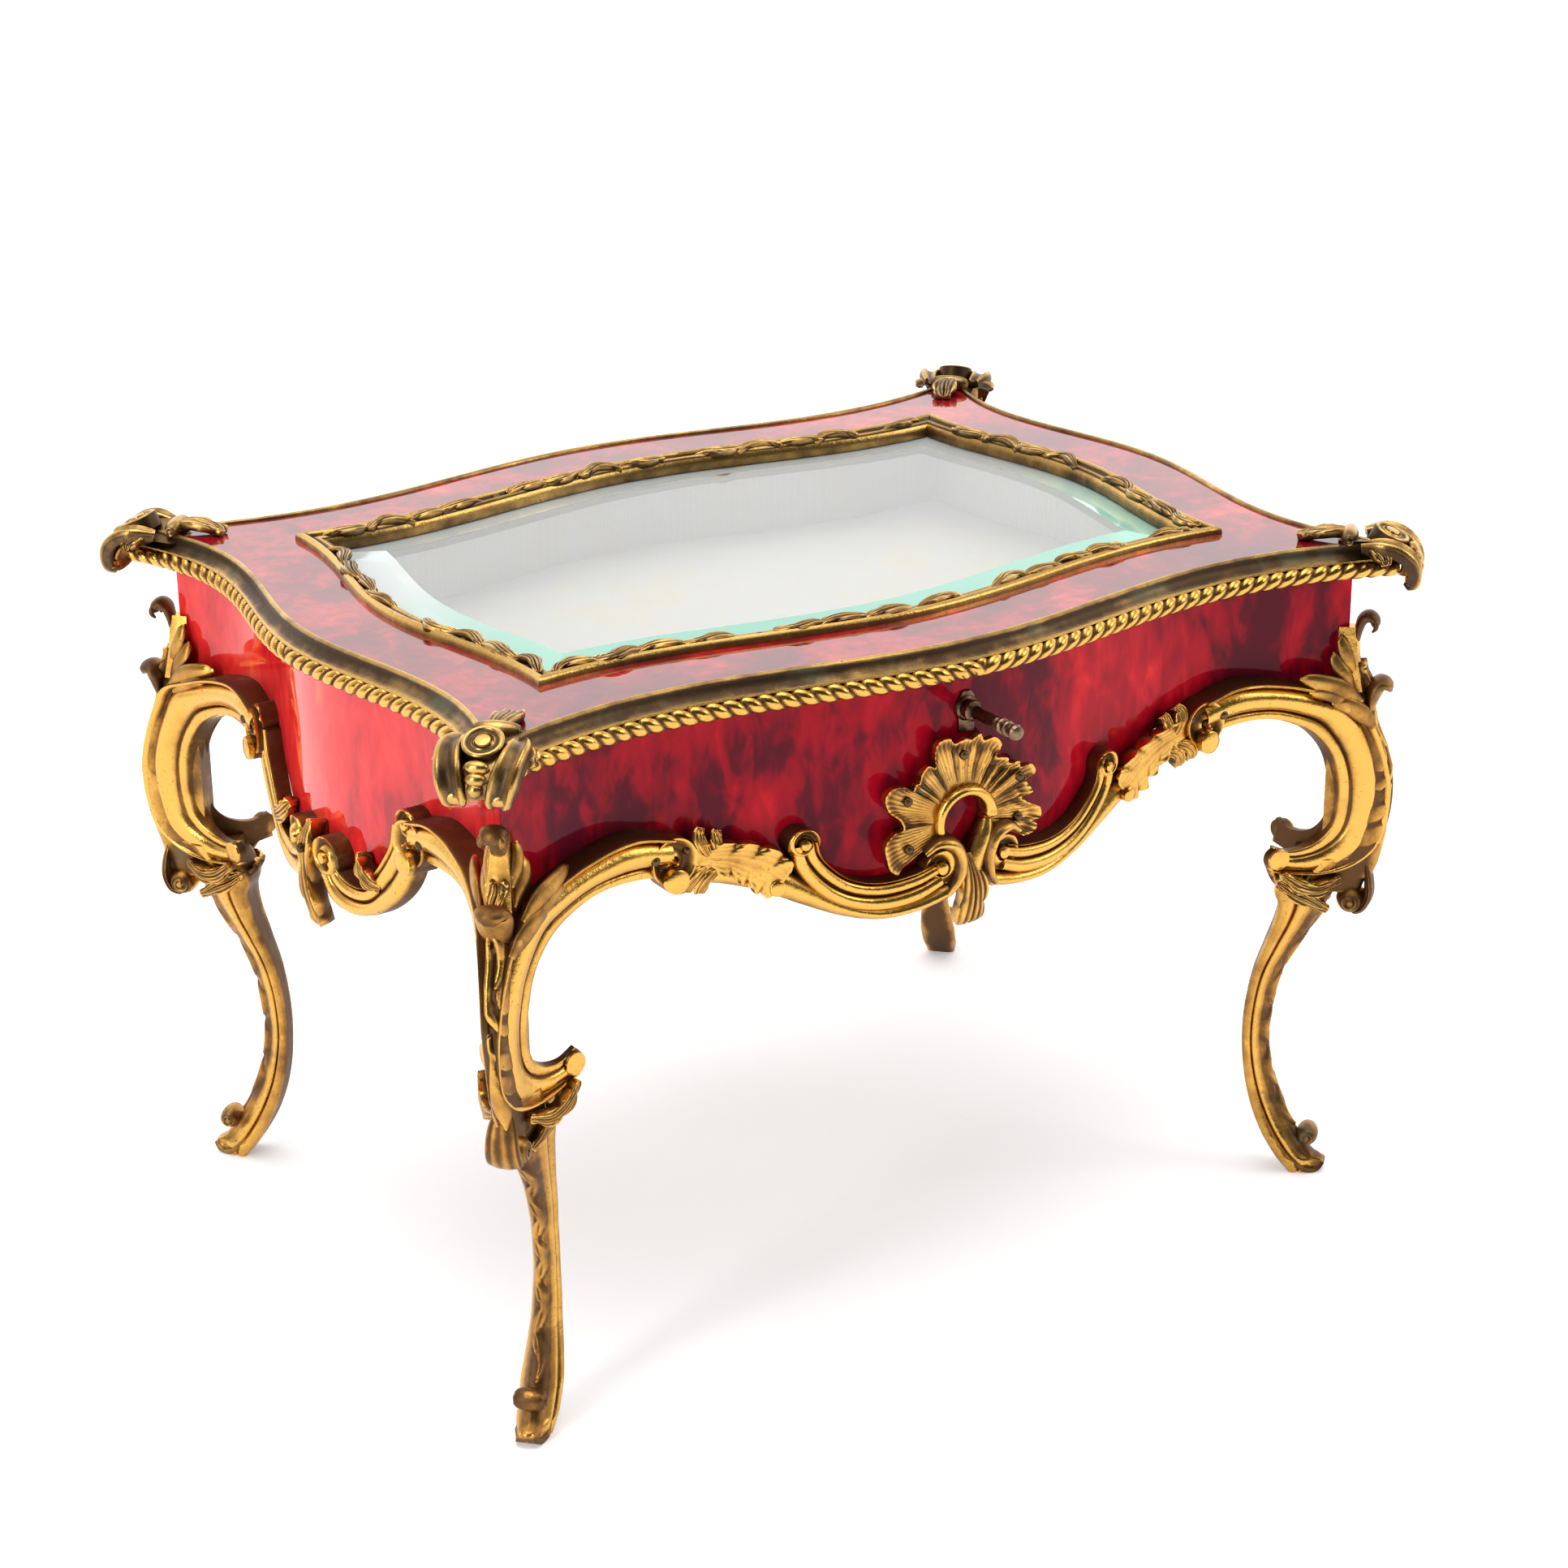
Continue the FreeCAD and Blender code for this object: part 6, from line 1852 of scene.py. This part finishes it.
@dataclass
class GlassFrame:
    """Moulded strip round the glass, with a row of small leaves on it."""

    profile: Points = (
        (20.4, 187.4), (20.45, 189), (20.8, 189.7), (21.5, 190.1), (22.2, 189.95), (22.6, 189.4), (23, 188.9),
        (23.6, 188.8), (24.2, 189.2), (24.7, 189.35), (25.2, 189), (25.5, 188.6), (25.9, 188.7), (26.3, 188.2),
        (26.6, 186.8), (26.6, 185.2), (23, 185.2))
    # Tone of each point of the profile: the top brighter and the grooves darker with the relief, and the outer side
    # and the underside dark as painted shade.
    worn: Row = (0.3, 0.6, 0.9, 1, 0.85, 0.4, 0.15, 0.25, 0.7, 0.85, 0.5, 0.15, 0.7, 0.7, 0.4, 0.3, 0.3)
    middle: float = 23.4
    top: float = 189.5
    leaf_long: float = 12.5
    reach: float = 0.955
    lap: float = 0.25
    gap_every: int = 5
    bow: Row = (-0.9, 0.2, 0.9, 0.5, -0.6)
    rise: Row = (-0.7, 0.3, 0.5, 0.3, -0.2)

    def garland(self, cast: Casting, side: Side) -> None:
        """Row of small bowed leaves along one side, which point from its middle to the corners.

        Args:
            cast: Casting that takes them.
            side: Which side.
        """
        end = PLAN.corner(self.middle)[0 if side.lengthwise else 1]
        count = 2 * int(end / self.leaf_long)
        ends = np.linspace(-self.reach, self.reach, count + 1)
        for i, (start, stop) in enumerate(zip(ends[:-1], ends[1:])):
            if i % self.gap_every == self.gap_every - 1:
                continue
            lap = self.lap * (stop - start)
            share = np.linspace(start, stop + lap, len(self.bow))
            share = np.clip(share if start + stop > 0 else share[::-1] - lap, -0.97, 0.97)
            bow = (-1) ** i * np.array(self.bow)
            line = np.stack([PLAN.edge(side, self.middle + 0.7 + b, np.array([s]))[0] for b, s in zip(bow, share)])
            run = np.c_[line, self.top + np.array(self.rise)]
            leaf(cast, run, np.cross(UP, run[-1] - run[0]), 2.1 + 0.5 * (i % 3 == 1), UP, lobes=2, crown=0.5,
                 rib=0.09, veins=1.8, thick=1.6, notch=0.4, sway=0.3)

    def build(self) -> None:
        """Builds the strip and its leaves."""
        cast = Casting()
        for side in Side:
            rim_sweep(cast, side, self.profile, tone=self.worn)
            self.garland(cast, side)
        cast.hand_in("glass_frame_strip", LID_BRONZE, Body.LID, "glass_frame")


@dataclass
class LidGlass:
    """Bevelled plate: a flat middle that follows the plan, and a wide bevel round it."""

    rim: float = 25.45
    inner: float = 38.45
    under: float = 182.5
    edge: float = 184.7
    face: float = 187.0
    steps: int = 61
    weld: float = 2e-6

    def ring(self, inset: float, z: float) -> Array:
        """Points once round the plan.

        Args:
            inset: How far the ring is drawn in.
            z: Its height.

        Returns:
            Its points.
        """
        share = np.linspace(-1, 1, self.steps)[:-1]
        ways = ((Side.FRONT, share), (Side.RIGHT, share), (Side.BACK, -share), (Side.LEFT, -share))
        flat = np.vstack([PLAN.edge(side, inset, places) for side, places in ways])
        return np.c_[flat, np.full(len(flat), z)]

    def patch(self, inset: float, z: float) -> Array:
        """Grid that fills the plan, blended from its four sides.

        Args:
            inset: How far the plan is drawn in.
            z: Its height.

        Returns:
            Rows of points.
        """
        s = np.linspace(-1, 1, self.steps)
        south, north, west, east = (PLAN.edge(side, inset, s) for side in Side)
        u, v = ((s + 1) / 2)[None, :, None], ((s + 1) / 2)[:, None, None]
        grid = (1 - v) * south[None] + v * north[None] + (1 - u) * west[:, None] + u * east[:, None]
        grid = grid - ((1 - u) * (1 - v) * south[0] + u * (1 - v) * south[-1] + (1 - u) * v * north[0]
                       + u * v * north[-1])
        return np.concatenate([grid, np.full((*grid.shape[:2], 1), z)], 2)

    def build(self) -> None:
        """Builds the plate and its bevel as one closed piece with two glasses."""
        made = bmesh.new()

        def points(run: Array) -> list[bmesh.types.BMVert]:
            """New points of the mesh along a run."""
            return [made.verts.new((p + (0, SHIFT_Y, 0)) * MM) for p in run]

        grids = [[points(row) for row in grid]
                 for grid in (self.patch(self.inner, self.face), self.patch(self.rim, self.under))]
        lines = [points(self.ring(inset, z)) for inset, z in
                 ((self.rim, self.under), (self.rim, self.edge), (self.inner, self.face))]
        for g, turn in zip(grids, (1, -1)):
            for i in range(self.steps - 1):
                for j in range(self.steps - 1):
                    made.faces.new((g[i][j], g[i][j + 1], g[i + 1][j + 1], g[i + 1][j])[::turn])
        for low, high in zip(lines[:-1], lines[1:]):
            for i in range(len(low)):
                j = (i + 1) % len(low)
                made.faces.new((low[i], low[j], high[j], high[i])).material_index = 1
        bmesh.ops.remove_doubles(made, verts=made.verts, dist=self.weld)
        bmesh.ops.recalc_face_normals(made, faces=made.faces)
        mesh = bpy.data.meshes.new("lid_glass_plate")
        made.to_mesh(mesh)
        made.free()
        for glass in (PLATE, BEVEL):
            mesh.materials.append(glass.material())
        settle(stand("lid_glass_plate", mesh), Body.LID, PLATE, "lid_glass")


# Inside and lock


@dataclass
class Lining:
    """Silk inside the case: a soft padded floor and a strip along each wall."""

    voxel: float = 4.0
    pressure: float = 4.0
    frames: int = 20
    cap: float = 1.0
    pinned: float = 2.4
    strip_inset: float = 11.3
    strip_thick: float = 0.4
    foot: float = 153.6
    top: float = 176.4
    lock_half: float = 19.4
    lock_foot: float = 159.8
    rows: int = 9

    def pad(self) -> None:
        """Floor pad: its solid is copied, meshed evenly, and blown up a little as cloth."""
        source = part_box("lining_pad")
        pad = stand("lining_pad_silk", bpy.data.objects["lining_pad"].data.copy())
        pad.data.materials.clear()
        pad.data.materials.append(SILK_LINING.material())
        remesh = pad.modifiers.new("even", "REMESH")
        remesh.mode, remesh.voxel_size = "VOXEL", self.voxel * MM
        self.apply(pad)
        self.blow(pad, source[0][2])
        pad.data.polygons.foreach_set("use_smooth", [True] * len(pad.data.polygons))
        settle(pad, Body.CASE, SILK_LINING, "lining_pad")

    @staticmethod
    def apply(piece: Piece) -> None:
        """Bakes a piece's modifiers into its mesh.

        Args:
            piece: The piece.
        """
        bpy.context.view_layer.update()
        seen = piece.evaluated_get(bpy.context.evaluated_depsgraph_get())
        mesh = bpy.data.meshes.new_from_object(seen)
        piece.modifiers.clear()
        piece.data = mesh

    def blow(self, pad: Piece, floor: float) -> None:
        """Fills the pad with air as cloth, with its underside pinned and each point's move capped.

        Args:
            pad: The pad.
            floor: Height of its underside.
        """
        start = np.array([v.co for v in pad.data.vertices])
        pins = pad.vertex_groups.new(name="pins")
        pins.add([i for i, z in enumerate(start[:, 2]) if z < floor + self.pinned * MM], 1.0, "REPLACE")
        cloth = pad.modifiers.new("cloth", "CLOTH")
        cloth.settings.use_pressure = True
        cloth.settings.uniform_pressure_force = self.pressure
        cloth.settings.vertex_group_mass = "pins"
        cloth.settings.effector_weights.gravity = 0.0
        scene = bpy.context.scene
        for frame in range(1, self.frames + 1):
            scene.frame_set(frame)
        self.apply(pad)
        scene.frame_set(1)
        move = np.array([v.co for v in pad.data.vertices]) - start
        far = np.linalg.norm(move, axis=1, keepdims=True)
        ends = start + move * np.minimum(1, self.cap * MM / np.maximum(far, TINY))
        pad.data.vertices.foreach_set("co", ends.ravel())

    def walls(self) -> None:
        """Strip of silk along each wall, cut out round the lock."""
        cast = Casting()
        share = np.linspace(-1, 1, 161)
        for side in Side:
            front, rear = (PLAN.edge(side, self.strip_inset + k * self.strip_thick, share) for k in (1, 0))
            top = np.full(len(share), self.top)
            if side is Side.FRONT:
                top[np.abs(front[:, 0]) < self.lock_half] = self.lock_foot
            z = self.foot + (top - self.foot)[:, None] * np.linspace(0, 1, self.rows)
            lay = [np.concatenate([np.repeat(line[:, None], self.rows, 1), z[..., None]], 2) for line in (front, rear)]
            cast.shell(*lay)
        silk = cast.make("wall_linings_silk", SILK_LINING)
        settle(silk, Body.CASE, SILK_LINING, "wall_linings")

    def build(self) -> None:
        """Builds pad and strips."""
        self.pad()
        self.walls()


@dataclass
class Key:
    """Key in the lock: a turned stem with rings, and its bit; and the collar round the keyhole."""

    height: float = 169.6
    stem: Points = (
        (-86, 0.05), (-86, 0.95), (-87.3, 1), (-87.35, 1.55), (-97.4, 1.6), (-97.5, 2.55), (-98.2, 2.7), (-99.4, 2.65),
        (-99.9, 2.2), (-100.4, 1.7), (-103, 1.5), (-106.5, 1.6), (-108.6, 1.6), (-108.8, 1.75), (-109.4, 1.8),
        (-109.9, 1.65), (-110.2, 1.55), (-110.7, 1.5), (-111, 1.95), (-111.6, 2.1), (-112.1, 1.9), (-112.4, 1.55),
        (-112.9, 1.5), (-113.2, 1.95), (-113.8, 2.1), (-114.3, 1.9), (-114.6, 1.5), (-115.4, 1.4), (-116, 1.9),
        (-116.9, 2.1), (-117.7, 1.7), (-118.1, 0.8), (-118.1, 0.05))
    collar: Points = ((95.3, 1.75), (97, 1.75), (97.2, 2), (97.1, 2.7), (96.7, 3.2), (96.1, 3.4), (95.3, 3.4))
    bit: Row = (3.2, -88.86, -87.36, 0.8)
    plate: Points = (
        (-2.2, 163.4), (2.2, 163.4), (2.5, 168), (2.3, 172.4), (1.2, 174), (-1.2, 174), (-2.3, 172.4), (-2.5, 168))
    plate_faces: Row = (-95.3, -96.4)
    crease: float = 30

    def build(self) -> None:
        """Builds key and collar."""
        key, ring = Casting(), Casting()
        axis = np.array([0.0, 0.0, self.height])
        turned(key, axis, (0, -1, 0), [(-y, r) for y, r in self.stem], 28, 0.6)
        reach, low, high, half = self.bit
        cut = np.array([(low, -half), (high, -half), (high, half), (low, half)])
        key.tube(np.stack([np.c_[np.full(4, x), cut[:, 0], cut[:, 1] + self.height] for x in (0.4, 1.8, reach)]), 0.5)
        key.hand_in("key_turned", KEY_STEEL, Body.KEY, "key", self.crease)
        rows = [[(r * math.cos(a), -y, self.height + r * math.sin(a)) for y, r in self.collar] for a in around(36)]
        ring.tube(np.array(rows), 0.55, closed=True)
        ring.tube(np.stack([np.array([(x, y, z) for x, z in self.plate]) for y in self.plate_faces]), 0.5)
        ring.hand_in("keyhole_collar_ring", KEY_STEEL, Body.CASE, "keyhole_collar", self.crease)


@dataclass
class CadFinishes:
    """Finishes of the frame's own pieces that stay as they are."""

    # Start of the pieces' names and their finish; the first that fits counts
    rules: Table = (
        ("wall_", CARCASS), ("base_board", CARCASS), ("lid_rail_", CARCASS), ("veneer_left", END_SHELL_PAINTED_LIT),
        ("veneer_right", END_SHELL_PAINTED_LIT), ("veneer_", RED_SHELL), ("lid_veneer_", LID_SHELL), ("hinge_", HINGE_BRASS),
        ("case_screws", HINGE_BRASS), ("lid_screws", HINGE_BRASS), ("lock_", LOCK_STEEL))

    def dress(self, nodes: dict[str, Piece]) -> None:
        """Gives each piece that stays its finish.

        Args:
            nodes: The frame's pieces by name.
        """
        for name, piece in nodes.items():
            for start, finish in self.rules:
                if name.startswith(start):
                    piece.data.materials.clear()
                    piece.data.materials.append(finish.material())
                    break


# Studio


@dataclass
class Studio:
    """White floor, soft lights, a bright surround, and the camera of the photograph."""

    azimuth: float = -32.396
    elevation: float = 22.213
    roll: float = -0.010
    eye: Row = (-449.238, -719.752, 462.957)
    lens: float = 76.335
    sensor: float = 36.0
    floor_half: float = 40.0
    aim: Row = (0, 0, 0.12)
    # Soft lights: name, place, width and height in metres, and power in watts
    boxes: Table = (
        ("left_box", (-1.5, -0.45, 0.75), (0.34, 1.2), 10), ("right_box", (1.3, -1.1, 1.2), (0.8, 0.8), 6),
        ("top_box", (-0.3, 0.2, 1.8), (1.6, 1.2), 6))

    def floor(self) -> None:
        """White floor."""
        h = self.floor_half
        mesh = bpy.data.meshes.new("studio_floor")
        mesh.from_pydata([(-h, -h, 0), (h, -h, 0), (h, h, 0), (-h, h, 0)], [], [(0, 1, 2, 3)])
        mesh.materials.append(FLOOR.material())
        stand("studio_floor", mesh)

    def softbox(self, name: str, place: Row, size: Row, power: float) -> None:
        """Soft light that looks at the middle of the case.

        Args:
            name: Its name.
            place: Where it stands, in metres.
            size: Width and height.
            power: Its power in watts.
        """
        light = bpy.data.lights.new(name, "AREA")
        light.shape, light.size, light.size_y, light.energy = "RECTANGLE", size[0], size[1], power
        lamp = stand(name, light)
        lamp.location = place
        lamp.rotation_euler = (Vector(self.aim) - Vector(place)).to_track_quat("-Z", "Y").to_euler()

    def surround(self) -> None:
        """Pale world, darker behind the camera so that metal and glass have something dark to show."""
        world = bpy.data.worlds.new("studio")
        bpy.context.scene.world = world
        world.use_nodes = True
        g = Graph(world.node_tree)
        split = g.node("ShaderNodeSeparateXYZ", i0=g.node("ShaderNodeTexCoord").outputs["Generated"])
        back = g.plus(g.times(split.outputs["X"], math.sin(math.radians(self.azimuth))),
                      g.times(split.outputs["Y"], -math.cos(math.radians(self.azimuth))))
        behind = g.times(g.fit(back, -0.1, -0.55), g.fit(split.outputs["Z"], 0.72, 0.5))
        level = g.mix(g.fit(back, 0.05, 0.45), (0.7, 0.7, 0.71, 1), (0.06, 0.06, 0.065, 1))
        level = g.mix(g.fit(split.outputs["Z"], 0.8, 0.98), level, (2.5, 2.5, 2.5, 1))
        level = g.mix(behind, level, (1.7, 1.7, 1.71, 1))
        shade = next(n for n in world.node_tree.nodes if n.type == "BACKGROUND")
        g.fill(shade, Color=level, Strength=1.0)

    def camera(self) -> None:
        """Camera at the photograph's place."""
        az, el = math.radians(self.azimuth), math.radians(self.elevation)
        back = Vector((math.sin(az) * math.cos(el), -math.cos(az) * math.cos(el), math.sin(el)))
        right = (-back).cross(Vector((0, 0, 1))).normalized()
        up = right.cross(-back)
        turn = Matrix((right * math.cos(self.roll) + up * math.sin(self.roll),
                       up * math.cos(self.roll) - right * math.sin(self.roll), back)).transposed()
        data = bpy.data.cameras.new("photo")
        data.lens, data.sensor_width = self.lens, self.sensor
        eye = Vector((self.eye[0], self.eye[1] + SHIFT_Y, self.eye[2])) * MM
        camera = stand("photo", data)
        camera.matrix_world = Matrix.Translation(eye) @ turn.to_4x4()
        bpy.context.scene.camera = camera

    def build(self) -> None:
        """Builds the studio."""
        self.floor()
        for box in self.boxes:
            self.softbox(*box)
        self.surround()
        self.camera()
        bpy.context.scene.view_settings.view_transform = "Standard"


def main() -> None:
    """Builds the visual case on its frame."""
    logging.basicConfig(level=logging.INFO, format="%(message)s")
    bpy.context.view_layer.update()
    CadFinishes().dress(frame["nodes"])
    for part in (Leg(), Chute(), LongApron(), SideApron(), Cartouche(), Pins(), LidEdge(), LidMount(), GlassFrame(),
                 LidGlass(), Lining(), Key()):
        part.build()
        LOG.info("%s built", type(part).__name__)
    Studio().build()


if __name__ == "__main__":
    main()
